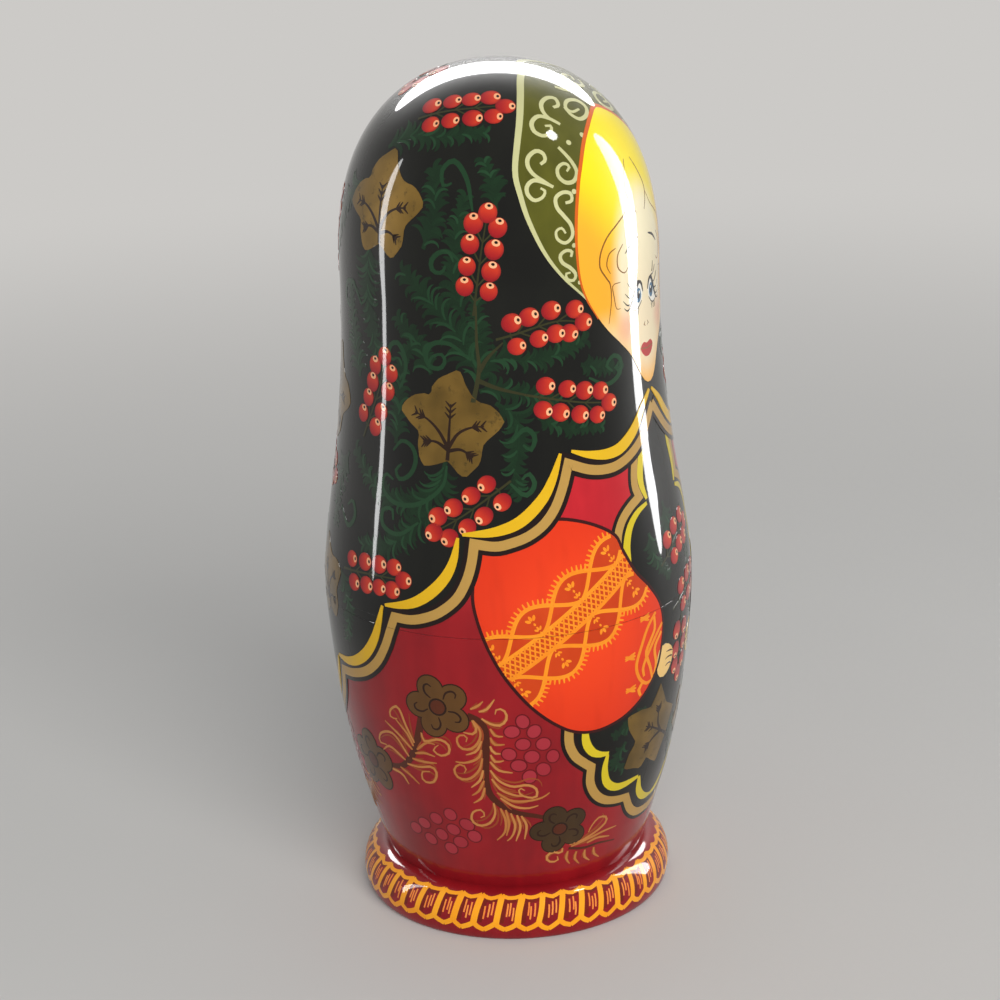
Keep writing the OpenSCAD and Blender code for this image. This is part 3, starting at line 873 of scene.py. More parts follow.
class Lace:
    """Lines of the lace on the sleeve's canvas, kept inside the sleeve."""

    def __init__(self, painting):
        self.painting = painting
        self.spot = Spot(*LACE_AT)
        self.sleeve = curve(self.spot.canvas(SLEEVE), closed=True)
        self.keep = placed(self.sleeve * LINES_INSET, -LACE_TURN)

    def line(self, path, widths):
        """Those stretches of a line that lie on the sleeve."""
        path = np.array(path, float)
        held = inside(path, self.keep)
        for run in np.split(np.arange(len(path)), np.where(np.diff(held.astype(int)))[0] + 1):
            if held[run[0]] and len(run) > 1:
                self.painting.line("lace_gold", 7, self.spot, placed(path[run], LACE_TURN), widths)

    def shade(self):
        """The deeper ground under the lace."""
        x = np.arange(-LACE_REACH, LACE_REACH, LACE_STEP)
        edges = []
        for side, start, rise in LACE_ROWS:
            arches = [arch(x - start - k * LACE_PITCH, rise) for k in ARCHES]
            edges.append(np.column_stack([x, side * (LACE_RAIL + np.max(arches, axis=0))]))
        rim = placed(np.vstack([edges[0], edges[1][::-1]]), LACE_TURN)
        self.painting.put("lace_shade", 6, self.spot, fill(rim, 1.2, self.sleeve * SHADE_INSET))

    def net(self):
        """The netted strip between two rails."""
        for y in (LACE_RAIL, -LACE_RAIL):
            self.line(even([(-LACE_REACH, y), (LACE_REACH, y)], 0.8), (0.95, 0.95, 0.95))
        gap = NET_GAP * self.painting.gap
        for i in range(int(2 * LACE_REACH / gap)):
            x = -LACE_REACH + i * gap
            for lean in (NET_LEAN, -NET_LEAN):
                self.line(even([(x - lean, -LACE_RAIL), (x + lean, LACE_RAIL)], 0.6), (0.45, 0.45, 0.45))

    def arches(self, side, start, rise):
        """A row of arches with fringe on their free tops and a sprig under each."""
        x = np.arange(-LACE_PITCH, LACE_PITCH + 0.1, LACE_STEP)
        for k in ARCHES:
            middle = start + k * LACE_PITCH
            path = even(np.column_stack([middle + x, side * (LACE_RAIL + arch(x, rise))]), 0.7)
            self.line(path, (1.0, 1.0, 1.0))
            top = path[np.abs(path[:, 0] - middle) < 0.5 * LACE_PITCH]
            teeth = even(top, TOOTH_GAP * self.painting.gap)
            for p, n in zip(teeth, side_of(teeth)):
                self.line(even([p, p + n * side * TOOTH], 0.5), (0.6, 0.5, 0.3))
            if self.painting.detail > 1:
                self.sprig(middle, side * (LACE_RAIL + 0.5 * rise), side, 1.0)
                self.sprig(middle, side * (LACE_RAIL + 0.13 * rise), side, 0.7)

    def sprig(self, x, y, side, size):
        """Three small petals on a short stalk."""
        for lean in (-40, 0, 40):
            tip = placed([(0, side * 2.1 * size)], lean, 1, x, y)[0]
            root = placed([(0, side * 0.6 * size)], lean, 1, x, y)[0]
            self.line(even([root, tip], 0.4), (0.3, 0.8 * size, 0.3))
        self.line(even([(x, y - side * 0.9 * size), (x, y - side * 0.1)], 0.3), (0.2, 0.6 * size, 0.2))


def paint_lace(painting):
    """The lace band across the sleeve."""
    lace = Lace(painting)
    lace.shade()
    lace.net()
    for side, start, rise in LACE_ROWS:
        lace.arches(side, start, rise)


def paint_cuffs(painting):
    """The lace at the wrist."""
    for line in CUFF:
        band(painting, "lace_gold", 7, line, (0.8, 1.0, 0.8))
    for place in CUFF_SPRIGS:
        spot = Spot(*place)
        for lean in (-26, 0, 26):
            path = placed(even([(2.2, 0), (-1.4, 0)], 0.6), lean)
            painting.line("lace_gold", 7, spot, path, (0.3, 0.9, 0.3))


FACE_SPOT = Spot(0, 186.5)
KERCHIEF_LOW_Z, HAIR_LOW_Z, KERCHIEF_UNDER_HAIR = 165, 160, 0.93


def paint_kerchief(painting):
    """The patterned kerchief edge round the hair."""
    spot = FACE_SPOT
    outer = spot.canvas(KERCHIEF)
    arch_line = curve(np.vstack([outer, (outer[:-1] * (-1, 1))[::-1]]))
    inner = spot.canvas([p for p in FACE if p[1] >= KERCHIEF_LOW_Z])[::-1] * KERCHIEF_UNDER_HAIR
    rim = np.vstack([arch_line, inner * (-1, 1), inner[::-1][1:]])
    painting.put("kerchief_olive", 3, spot, fill(rim), (LEFT,), (0, 0))
    painting.line("kerchief_cream", 4, spot, arch_line, (0.5, 1.5, 0.5), (LEFT,))
    for places in KERCHIEF_SCROLLS:
        painting.line("kerchief_cream", 4, spot, curve(spot.canvas(places), 0.6), (0.7, 0.95, 0.5))
    for place in KERCHIEF_DOTS:
        x, y = spot.canvas([place])[0]
        painting.put("kerchief_cream", 4, spot, disc(x, y, 0.6 * painting.pen, steps=12, rings=1))


def draw_face(painting, paint, coats, places, widths):
    """A fine line of the face."""
    painting.line(paint, coats, FACE_SPOT, curve(FACE_SPOT.canvas(places), 0.8), widths)


def paint_face(painting):
    """The hair and face in one soft field, with the red edge of the hair, curls, eyes, brows and mouth."""
    spot = FACE_SPOT
    rim = curve(spot.canvas(FACE + right_half(FACE)), closed=True)
    painting.put("face", 6.6, spot, fill(rim), (LEFT,), (0, 0))
    hair = [p for p in FACE if p[1] > HAIR_LOW_Z]
    edge = curve(spot.canvas([(-a, z) for a, z in hair[1:]][::-1] + hair))
    painting.line("hair_edge", 5, spot, edge, (0.7, 1.9, 0.7), (LEFT,))
    for places, widths in CURLS + (FINE_CURLS if painting.detail > 0 else []):
        draw_face(painting, "curl_brown", 7, places, widths)
    paint_eyes(painting)
    draw_face(painting, "curl_brown", 7, NOSE, (0.15, 0.35, 0.15))
    lips = curve(spot.canvas(LIPS), 0.6, closed=True)
    painting.put("lip_red", 7, spot, fill(lips, 1.0), (LEFT,))
    draw_face(painting, "curl_brown", 8, MOUTH, (0.12, 0.26, 0.26))


LASH_BEND, LASH_SAG = 0.55, 0.7


def paint_eyes(painting):
    """Eyes with a dark upper lid, a painted highlight on the pupil, long lashes and thin brows."""
    spot = FACE_SPOT
    painting.put("eye_white", 7, spot, fill(curve(spot.canvas(EYE), 0.5, closed=True), 0.8))
    x, y = spot.canvas([PUPIL])[0]
    painting.put("iris_blue", 8, spot, disc(x, y, 1.5, 1.95, rings=3))
    painting.put("liner_black", 9, spot, disc(x, y + 0.1, 0.75, 1.0))
    # A small white dot on the pupil: a painted highlight.
    painting.put("eye_white", 10, spot, disc(x + 0.5, y + 0.8, 0.34, 0.42, steps=10, rings=1))
    draw_face(painting, "liner_black", 10, UPPER_LID, (0.4, 0.95, 0.3))
    draw_face(painting, "liner_black", 9, LOWER_LID, (0.2, 0.3, 0.2))
    for (a0, z0), (a1, z1) in LASHES[:: 1 if painting.detail > 1 else 2]:
        near = 1 - LASH_BEND
        bend = (a0 * near + a1 * LASH_BEND, z0 * near + z1 * LASH_BEND - LASH_SAG)
        draw_face(painting, "liner_black", 9, [(a0, z0), bend, (a1, z1)], (0.4, 0.32, 0.12))
    for a in LOWER_LASHES:
        lash = [(a + turn, z) for turn, z in LOWER_LASH]
        draw_face(painting, "liner_black", 9, lash, (0.25, 0.22, 0.1))
    draw_face(painting, "liner_black", 7, BROW, (0.2, 0.7, 0.3))


BERRY_R, BERRY_FIRST, BERRY_STEP, BERRY_ROW = 2.28, 3.4, 5.0, 2.9
BERRY_STALK, SPRAY_STALK, SPRAY_STEP = 4, 3.5, 0.4


def berry(painting, spot, at, way, size, sides, coats):
    """A berry with a pale ring and a dark eye at its free end."""
    turn = bearing(way)
    r = BERRY_R * size
    tip = at + way * r * 0.68
    eye = tip + way * r * 0.06
    painting.put("berry_red", coats, spot, disc(*at, r * 1.06, r * 0.97, turn, 22, 3), sides, at, turn)
    painting.put("berry_tip", coats + 1, spot, disc(*tip, r * 0.34, r * 0.44, turn, 14, 1), sides)
    painting.put("liner_black", coats + 2, spot, disc(*eye, r * 0.15, r * 0.19, turn, 10, 1), sides)


def paint_spray(painting, spine, pairs, sides=BOTH, coats=5):
    """A spray of berries in two rows and one at the tip, on a thin stalk."""
    size = painting.berry_size
    spot = Spot(*spine[1])
    path = curve(spot.canvas(spine), SPRAY_STEP)
    last = len(path) - 1
    out = -headings(path)
    across = np.column_stack([out[:, 1], -out[:, 0]])
    for i in range(pairs):
        for side in (1, -1):
            far = BERRY_FIRST + BERRY_STEP * i + rng.uniform(-0.3, 0.5)
            k = min(int(far * size / SPRAY_STEP), last)
            at = path[k] + across[k] * side * BERRY_ROW * size
            way = out[k] * 0.94 + across[k] * side * 0.12
            way = way / np.linalg.norm(way)
            berry(painting, spot, at, way, size * rng.uniform(0.94, 1.05), sides, coats)
            foot = path[min(k + int(BERRY_STALK * size / SPRAY_STEP), last)]
            painting.line("stalk_olive", coats - 1, spot, even([foot, at], 1), (0.3, 0.4, 0.3), sides)
    berry(painting, spot, path[0] - out[0] * 0.2 * size, out[0], size, sides, coats)
    stalk = even(np.vstack([path, path[-1] - out[-1] * SPRAY_STALK]), STROKE_STEP)
    painting.line("stalk_olive", coats - 1, spot, stalk, (0.3, 0.45, 0.6), sides)


def paint_leaf(painting, angle, height, turn, size, sides=BOTH, coats=4, shape=ROUND_LEAF):
    """A five-lobed gold leaf with dark, twigged veins."""
    outline, veins = shape
    spot = Spot(angle, height)
    rim = even(placed(outline + outline[:1], turn, size), 0.8)[:-1]
    painting.put("leaf_gold", coats, spot, fill(rim, 1.3), sides, (0, 0))
    for vein in veins:
        path = curve(placed(vein, turn, size), 0.7)
        painting.line("vein_brown", coats + 1, spot, path, (1.0, 0.65, 0.3), sides)
        if painting.detail > 0:
            twigs(painting, spot, path, size, sides, coats + 1)


TWIG_SHARES, TWIG_LEANS, TWIG_LENGTH = (0.78, 0.86, 0.95), (-46, 46), 1.9


def twigs(painting, spot, path, size, sides, coats):
    """Short side twigs at the end of a vein."""
    along = headings(path)
    for share in TWIG_SHARES:
        k = int(share * (len(path) - 1))
        for lean in TWIG_LEANS:
            way = placed([along[k]], lean)[0]
            line = even([path[k], path[k] + way * TWIG_LENGTH * size], 0.6)
            painting.line("vein_brown", coats, spot, line, (0.6, 0.45, 0.2), sides)


FROND_STEP, LIGHT_STROKE = 0.45, 0.6
FERN_WIDTHS, FERN_GAP, FERN_LIGHT = (0.5, 1.15, 0.15), 1.35, 0.22


def paint_plume(
    painting, spine, leaf, paints, coats, sides=BOTH, widths=FERN_WIDTHS, gap=FERN_GAP, light=FERN_LIGHT
):
    """A frond: a curved spine with strokes on both sides that leave it along its way and curl outward."""
    spot = Spot(*spine[len(spine) // 2])
    path = curve(spot.canvas(spine), FROND_STEP)
    along = headings(path)
    painting.line(paints[0], coats, spot, even(path, STROKE_STEP), (1.1, 0.8, 0.3), sides)
    for side in (1, -1):
        k = 1 + rng.randrange(3)
        while k < len(path):
            length = leaf * (1 - 0.5 * (k / len(path))) * rng.uniform(0.7, 1.12)
            heading = bearing(along[k]) + side * rng.uniform(12, 30)
            stem = curl(length, side * rng.uniform(60, 125), 0.8, 10)
            is_light = rng.random() < light
            thin = LIGHT_STROKE if is_light else 1.0
            line = placed(stem, heading, 1, *path[k])
            painting.line(paints[is_light], coats + is_light, spot, line, [w * thin for w in widths], sides)
            k += max(int(gap * painting.gap * rng.uniform(0.7, 1.3) / FROND_STEP), 1)


GREENS = ("fern_deep", "fern_light")


def paint_shawl(painting):
    """Berries, leaves and ferns on the black shawl."""
    for spine, leaf in FERNS:
        paint_plume(painting, spine, leaf, GREENS, 2)
    for places in FERN_SPIRALS:
        band(painting, "fern_light", 3, places, (0.5, 1.2, 0.5))
    for stalk in FERN_STALKS:
        band(painting, "stalk_olive", 4, stalk, (1.2, 0.8, 0.4))
    for leaf in LEAVES:
        paint_leaf(painting, *leaf)
    for leaf in BACK_LEAVES:
        paint_leaf(painting, *leaf, (LEFT,))
    for spine in SPRAYS:
        paint_spray(painting, spine, painting.pairs)


def paint_apron_flowers(painting):
    """The sprays, leaves and ferns on the apron."""
    for spine, leaf in APRON_FERNS:
        paint_plume(painting, spine, leaf, GREENS, 3, (LEFT,))
    for leaf in APRON_LEAVES:
        paint_leaf(painting, *leaf, (LEFT,), 5, LYING_LEAF)
    for spine in APRON_SPRAYS:
        paint_spray(painting, spine, painting.pairs - 1, (LEFT,), 6)


PETAL_TURNS, PETAL_OUT = (18, 90, 162, 234, 306), 5.3
PETAL_FOLD = [(-2.4, 0.9), (-0.6, 1.9), (1.2, 1.5), (1.6, 0.2), (0.6, -0.6)]


def paint_flower(painting, angle, height, size, paint):
    """A brown flower of five round petals with a ringed middle."""
    spot = Spot(angle, height)
    turn = rng.uniform(0, 20)
    fold = curve(PETAL_FOLD, 0.6)
    for a in PETAL_TURNS:
        x, y = placed([(PETAL_OUT, 0)], a + turn, size)[0]
        painting.put("liner_brown", 4, spot, disc(x, y, 4.3 * size, 4.0 * size, a + turn, 22, 3))
        painting.put(paint, 5, spot, disc(x, y, 3.95 * size, 3.65 * size, a + turn, 22, 3), BOTH, (x, y))
        painting.line("liner_brown", 6, spot, placed(fold, a + turn, size, x, y), (0.3, 0.55, 0.25))
    middle = [(paint, 5, 4, 3), ("liner_brown", 6, 2.6, 2), ("flower_eye", 7, 2.05, 2)]
    for colour, coats, r, rings in middle:
        painting.put(colour, coats, spot, disc(0, 0, r * size, rings=rings))


GRASS_SHADES = ((13, 0.7), (-15, 0.55))


def paint_grass_shade(painting, places):
    """Two darker, shorter strokes beside a grass stroke, from the same root."""
    spot = Spot(*places[0])
    path = curve(spot.canvas(places))
    for lean, share in GRASS_SHADES:
        part = path[: max(int(share * len(path)), 3)]
        painting.line("grass_rust", 3, spot, placed(part, lean * rng.uniform(0.6, 1.3)), (0.35, 0.5, 0.15))


GRASS_PAINTS, GRASS_WIDTHS = ("grass_rust", "grass_tan"), (0.4, 0.65, 0.2)
GRAPE_RIM = 0.35


def paint_skirt(painting):
    """Flowers on curved stems with grass strokes, and clusters of grapes."""
    for stem in STEMS:
        band(painting, "stem_brown", 2, stem, (2.1, 1.9, 1.2))
    band(painting, "stem_brown", 2, TWIG, (0.8, 0.7, 0.4))
    for stem in STEMS[2:]:
        paint_plume(painting, stem, 7, GRASS_PAINTS, 3, BOTH, GRASS_WIDTHS, 1.5, 0.6)
    for places in GRASS[:: 1 if painting.detail > 1 else 2]:
        band(painting, "grass_tan", 4, places, (0.45, 0.65, 0.25))
        if painting.detail > 1:
            paint_grass_shade(painting, places)
    for angle, height, dots, r in GRAPES:
        spot = Spot(angle, height)
        for x, y in dots:
            wide, high, turn = r * rng.uniform(0.98, 1.1), r * rng.uniform(0.88, 1.0), rng.uniform(0, 180)
            painting.put("grape_shade", 1, spot, disc(x, y, wide + GRAPE_RIM, high + GRAPE_RIM, turn))
            painting.put("grape_pink", 2, spot, disc(x, y, wide, high, turn), BOTH, (x, y))
    for flower in FLOWERS:
        paint_flower(painting, *flower)


RING_LOW_Z, RING_TOP_Z, RING_LEAN = 3.4, 11.6, 0.36
CELL = np.array([5, 11])


def paint_ring(painting):
    """The foot ring: leaning bars joined by scallops above and points below, and fine strokes between."""
    turn = 2 * math.pi / painting.cells
    low, top = float(rise_at(RING_LOW_Z)), float(rise_at(RING_TOP_Z))

    def line(paint, coats, start, points, width):
        """A line through points given in cells to the right and from the low edge to the top edge."""
        path = curve(np.array(points) * CELL, 0.9) / CELL
        path[:, 0] = (start + path[:, 0] + RING_LEAN * path[:, 1]) * turn
        path[:, 1] = low + (top - low) * path[:, 1]
        painting.ribbon(paint, coats, path, width * painting.pen ** 0.5, (LEFT,))

    def jitter(size):
        return rng.uniform(-size, size)

    for i in range(painting.cells):
        shift, lift = jitter(0.08), jitter(0.03)
        line("ring_dark", 1, i, [(0.22, 0.2), (0.2, 0.55), (0.22, 0.86)], 1.7)
        line("ring_dark", 1, i, [(0.2, 0.86), (0.5, 0.79), (0.82, 0.84)], 0.9)
        bar = [(jitter(0.04), 0.14), (0.01 + jitter(0.03), 0.5), (0.02, 0.95)]
        line("ring_orange", 2, i, bar, 1.6 + jitter(0.2))
        line("ring_orange", 2, i, [(0.0, 0.16), (0.24, 0.05 + lift), (0.52 + shift, lift - 0.02)], 1.35)
        line("ring_orange", 2, i, [(0.5 + shift, lift - 0.02), (0.8, 0.08), (1.0, 0.18)], 1.35)
        scallop = [(0.02, 0.98), (0.25, 0.91), (0.52, 0.88 + lift), (0.8, 0.92), (1.02, 0.98)]
        line("ring_orange", 2, i, scallop, 1.0)
        for k in range(3 if painting.detail > 0 else 1):
            x, base = 0.42 + 0.15 * k + jitter(0.03), 0.28 + 0.07 * ((i + k) % 3) + jitter(0.03)
            line("ring_tick", 2, i, [(x, base), (x - 0.01, base + 0.18), (x - 0.04, base + 0.36)], 0.42)


# The right arm reaches less far across the front than the left one.
RIGHT_ARM_SHIFT = math.radians(12)


def painted(pen, gap, detail):
    """Everything painted on a doll of one size."""
    painting = Painting(pen, gap, detail)
    paint_grounds(painting)
    paint_apron(painting)
    paint_apron_flowers(painting)
    painting.arm_shift = RIGHT_ARM_SHIFT
    paint_sleeves(painting)
    paint_lace(painting)
    paint_cuffs(painting)
    painting.arm_shift = 0.0
    paint_border(painting)
    paint_shawl(painting)
    paint_kerchief(painting)
    paint_face(painting)
    paint_skirt(painting)
    paint_ring(painting)
    return painting


# Finishes

def linear(colour):
    """A colour written as it looks on screen, as the light values the shader takes."""
    parts = [int(colour[i : i + 2], 16) / 255 for i in (1, 3, 5)]
    return (*[c / 12.92 if c <= 0.04045 else ((c + 0.055) / 1.055) ** 2.4 for c in parts], 1.0)


class Value:
    """A socket in a material's tree. Sums written with it add Math nodes."""

    def __init__(self, nodes, socket):
        self.nodes, self.socket = nodes, socket

    def math(self, operation, *others):
        inputs = dict(enumerate((self, *others)))
        return self.nodes.node("ShaderNodeMath", {"operation": operation}, inputs)

    def __add__(self, other):
        return self.math("ADD", other)

    def __sub__(self, other):
        return self.math("SUBTRACT", other)

    def __rsub__(self, other):
        return self.math("MULTIPLY", -1.0) + other

    def __mul__(self, other):
        return self.math("MULTIPLY", other)

    def __truediv__(self, other):
        return self.math("DIVIDE", other)

    def __pow__(self, other):
        return self.math("POWER", other)

    def between(self, low, high):
        """0 at low, 1 at high, with soft ends."""
        inputs = {"Value": self, "From Min": low, "From Max": high}
        return self.nodes.node("ShaderNodeMapRange", {"interpolation_type": "SMOOTHSTEP"}, inputs)


STREAK_SCALE, STREAK_SHARE, MOTTLE_SCALE = 160.0, 0.16, 38.0
SLEEVE_SHARE, GRAIN_SHARE = 0.2, 0.05
BRUSH_MARK, FACE_MARK, TOOL_MARK = 0.00004, 0.00003, 0.00005
LACQUER_ROUGHNESS, COAT_ROUGHNESS, COAT_IOR, LACQUER_SHINE = 0.42, 0.045, 1.32, 0.05


class Nodes:
    """Node work on one tree."""

    def __init__(self, tree):
        self.tree = tree

    def node(self, kind, settings=None, inputs=None, output=0):
        node = self.tree.nodes.new(kind)
        for key, value in (settings or {}).items():
            setattr(node, key, value)
        for key, value in (inputs or {}).items():
            self.feed(node.inputs[key], value)
        return Value(self, node.outputs[output])

    def feed(self, socket, value):
        if isinstance(value, Value):
            self.tree.links.new(value.socket, socket)
        else:
            socket.default_value = value

    def mix(self, factor, a, b):
        """Colour a where the factor is 0 and b where it is 1."""
        return self.node("ShaderNodeMix", {"data_type": "RGBA"}, {0: factor, 6: a, 7: b}, 2)

    def position(self):
        return self.node("ShaderNodeTexCoord", output="Object")

    def parts(self, vector):
        """The three numbers of a vector."""
        split = self.node("ShaderNodeSeparateXYZ", None, {0: vector}).socket.node
        return [Value(self, output) for output in split.outputs]

    def noise(self, scale, detail, vector=None, roughness=0.55):
        place = vector or self.position()
        inputs = {"Vector": place, "Scale": scale, "Detail": detail, "Roughness": roughness}
        return self.node("ShaderNodeTexNoise", None, inputs)

    def streaks(self, scale, share, detail=2.0):
        """Noise drawn out along the height."""
        settings = {"operation": "MULTIPLY"}
        inputs = {0: self.position(), 1: (1.0, 1.0, share)}
        return self.noise(scale, detail, self.node("ShaderNodeVectorMath", settings, inputs))

    def seen_ray(self):
        """1 for what the camera sees, in a mirror or through glass too, and 0 for light."""
        kinds = ("Camera", "Glossy", "Transmission")
        rays = [self.node("ShaderNodeLightPath", output=f"Is {kind} Ray") for kind in kinds]
        return rays[0].math("MAXIMUM", rays[1]).math("MAXIMUM", rays[2])


class Finish(Nodes):
    """One material, built round a Principled shader."""

    def __init__(self, name):
        self.material = bpy.data.materials.new(name)
        self.material.use_nodes = True
        super().__init__(self.material.node_tree)
        self.shader = self.tree.nodes["Principled BSDF"]

    def set(self, **values):
        """Sets the shader's sockets, named with _ for a space."""
        for key, value in values.items():
            self.feed(self.shader.inputs[key.replace("_", " ")], value)

    def brush(self):
        """A shape's own coordinates, in centimetres from its middle, and a random number for each shape."""
        return self.parts(self.node("ShaderNodeAttribute", {"attribute_name": "brush"}, output="Vector"))

    def bump(self, height, distance):
        inputs = {"Height": height, "Distance": distance, "Strength": 1.0}
        self.set(Normal=self.node("ShaderNodeBump", None, inputs))

    def lacquered(self, colour, roughness=LACQUER_ROUGHNESS):
        """The material in a colour under clear lacquer."""
        self.set(Base_Color=colour, Roughness=roughness, Specular_IOR_Level=LACQUER_SHINE)
        self.set(Coat_Weight=1.0, Coat_Roughness=COAT_ROUGHNESS, Coat_IOR=COAT_IOR)
        return self.material


def brushed(f, deep, bright):
    """A broad field between two colours, with soft mottling and faint brush marks."""
    streaks = f.streaks(STREAK_SCALE, STREAK_SHARE)
    mottle = f.noise(MOTTLE_SCALE, 4.0)
    f.bump(streaks, BRUSH_MARK)
    return f.lacquered(f.mix((mottle * 0.6 + streaks * 0.4).between(0.34, 0.66), deep, bright))


def ground_paint(name, deep, bright):
    """A paint for broad fields."""
    return brushed(Finish(name), linear(deep), linear(bright))


def bodice_paint(name):
    """The dress above the seam: the skirt's red, brightened towards the neck by painted light on the upper
    bodice.
    """
    f = Finish(name)
    # up is painted light: it brightens the bodice from the seam towards the neck.
    up = f.brush()[1].between(-1.2, 1.6)
    deep = f.mix(up, linear("#82121a"), linear("#b81c27"))
    return brushed(f, deep, f.mix(up, linear("#98161d"), linear("#d0262f")))


def line_paint(name, deep, bright):
    """A paint for lines and dabs: each stroke a little lighter or darker than the next."""
    f = Finish(name)
    shade = f.brush()[2] * 0.6 + f.noise(220.0, 2.0) * 0.4
    return f.lacquered(f.mix(shade, linear(deep), linear(bright)))


def berry_paint(name):
    """A berry, orange-red towards its free end and deep red at its stalk and rim: painted shade that makes
    the flat dab look round.
    """
    f = Finish(name)
    x, y, seed = f.brush()
    far = (x * x + y * y) ** 0.5
    # Painted shade: the body darkens towards the stalk side and the rim darkens further.
    body = f.mix((x + seed * 0.08).between(-0.16, 0.24), linear("#a3171c"), linear("#cf3a1e"))
    return f.lacquered(f.mix(far.between(0.14, 0.26) * 0.7, body, linear("#75101a")))


def leaf_paint(name):
    """Dull olive gold, rubbed thin in places."""
    f = Finish(name)
    worn = f.noise(420.0, 5.0, roughness=0.7)
    cloud = f.noise(90.0, 2.0)
    colour = f.mix(cloud.between(0.3, 0.7), linear("#5c4617"), linear("#7c5f26"))
    f.set(Metallic=0.25)
    return f.lacquered(f.mix(worn.between(0.54, 0.74), colour, linear("#4a3b17")), 0.4)


def face_paint(name):
    """Yellow hair, orange at the sides, that fades into a pale face with warm cheeks."""
    f = Finish(name)
    x, y, _ = f.brush()
    wide = (x * x) ** 0.5
    hair = f.mix((wide - y * 0.55).between(0.7, 2.4), linear("#fde40c"), linear("#fbb02c"))
    oval = ((x / 1.42) ** 2 + ((y + 1.86) / 2.35) ** 2) ** 0.5
    skin = f.mix((y + 0.5).between(-2.6, 0.4), linear("#f6e3bd"), linear("#f8ecc4"))
    colour = f.mix(oval.between(0.78, 1.16), skin, hair)
    low = wide.between(0.2, 1.6) * (y * -1.0).between(2.2, 3.4)
    colour = f.mix(low * 0.9, colour, linear("#f6dfae"))
    cheek = ((wide - 1.02) ** 2 + (y + 3.0) ** 2) ** 0.5
    colour = f.mix((1 - cheek.between(0.05, 0.62)) * 0.5, colour, linear("#f0937a"))
    f.bump(f.noise(STREAK_SCALE, 2.0), FACE_MARK)
    return f.lacquered(colour)


def sleeve_paint(name):
    """Orange-red, with a painted highlight over the middle of the sleeve and painted shade towards its rim.
    """
    f = Finish(name)
    x, y, _ = f.brush()
    puff_light = (x * x + y * y) ** 0.5
    streaks = f.streaks(150.0, SLEEVE_SHARE)
    # Painted highlight over the sleeve's middle, fading to painted shade at its rim.
    colour = f.mix(puff_light.between(0.6, 3.2), linear("#ee4216"), linear("#dd3411"))
    f.bump(streaks, BRUSH_MARK)
    return f.lacquered(f.mix(streaks.between(0.5, 0.8) * 0.5, colour, linear("#c92d0e")))


def lime_wood(name):
    """Bare turned lime wood: pale, with fine long grain and the rings the turning tool leaves."""
    f = Finish(name)
    grain = f.streaks(900.0, GRAIN_SHARE, 4.0)
    cloud = f.noise(30.0, 3.0)
    height = f.parts(f.position())[2]
    tool = (height * 5200.0 + cloud * 3.0).math("SINE")
    colour = f.mix(cloud.between(0.3, 0.7), linear("#d9bd8f"), linear("#e8d2a8"))
    colour = f.mix(grain.between(0.5, 0.72) * 0.55, colour, linear("#bd9a68"))
    f.set(Base_Color=colour, Roughness=grain * 0.25 + 0.5)
    f.bump(tool * 0.5 + grain, TOOL_MARK)
    return f.material


# The two colours between which each paint varies
GROUND_COLOURS = {
    "shawl_black": ("#0a0a08", "#11120d"),
    "dress_red": ("#82121a", "#98161d"),
    "lace_shade": ("#c43a0a", "#cf430f"),
    "kerchief_olive": ("#4a4a10", "#5d5c18"),
    "hand_cream": ("#f2c676", "#f8d48e"),
    "flower_brown": ("#543716", "#62411d"),
    "flower_deep": ("#3a2813", "#473219"),
    "flower_eye": ("#4e200e", "#5a2812"),
}
LINE_COLOURS = {
    "lace_gold": ("#f08516", "#f99a22"),
    "border_yellow": ("#dcaa12", "#e8bc1e"),
    "apron_yellow": ("#d0b81c", "#dcc628"),
    "border_tan": ("#b18a44", "#c0974f"),
    "liner_black": ("#120705", "#1c0b07"),
    "liner_red": ("#2c0607", "#3a0a0a"),
    "liner_brown": ("#241206", "#30180a"),
    "fern_deep": ("#0a200f", "#123018"),
    "fern_light": ("#15361d", "#1e4126"),
    "stalk_olive": ("#2c2c15", "#38371b"),
    "vein_brown": ("#211106", "#2c180a"),
    "berry_tip": ("#f0a070", "#f7bb8c"),
    "kerchief_cream": ("#bcbb84", "#cfcc98"),
    "hair_edge": ("#cf5514", "#dd6a1a"),
    "curl_brown": ("#7a4a10", "#8d5a18"),
    "lip_red": ("#b3231f", "#c2302a"),
    "eye_white": ("#f3efe2", "#faf7ee"),
    "iris_blue": ("#35607f", "#477493"),
    "stem_brown": ("#43170a", "#54220e"),
    "grass_tan": ("#b0682e", "#c98c4c"),
    "grass_rust": ("#8a3a1a", "#a04a22"),
    "grape_shade": ("#5e0810", "#680b14"),
    "grape_pink": ("#9a2530", "#a82f3a"),
    "ring_orange": ("#f89a12", "#ffae24"),
    "ring_dark": ("#6a160a", "#7c1d0e"),
    "ring_tick": ("#ee7c2c", "#f99a46"),
}
FINISHES = {
    "bodice_red": bodice_paint("bodice_red"),
    "sleeve_orange": sleeve_paint("sleeve_orange"),
    "leaf_gold": leaf_paint("leaf_gold"),
    "berry_red": berry_paint("berry_red"),
    "face": face_paint("face"),
}
FINISHES.update({name: ground_paint(name, *colours) for name, colours in GROUND_COLOURS.items()})
FINISHES.update({name: line_paint(name, *colours) for name, colours in LINE_COLOURS.items()})
WOOD = lime_wood("lime_wood")


# Meshes

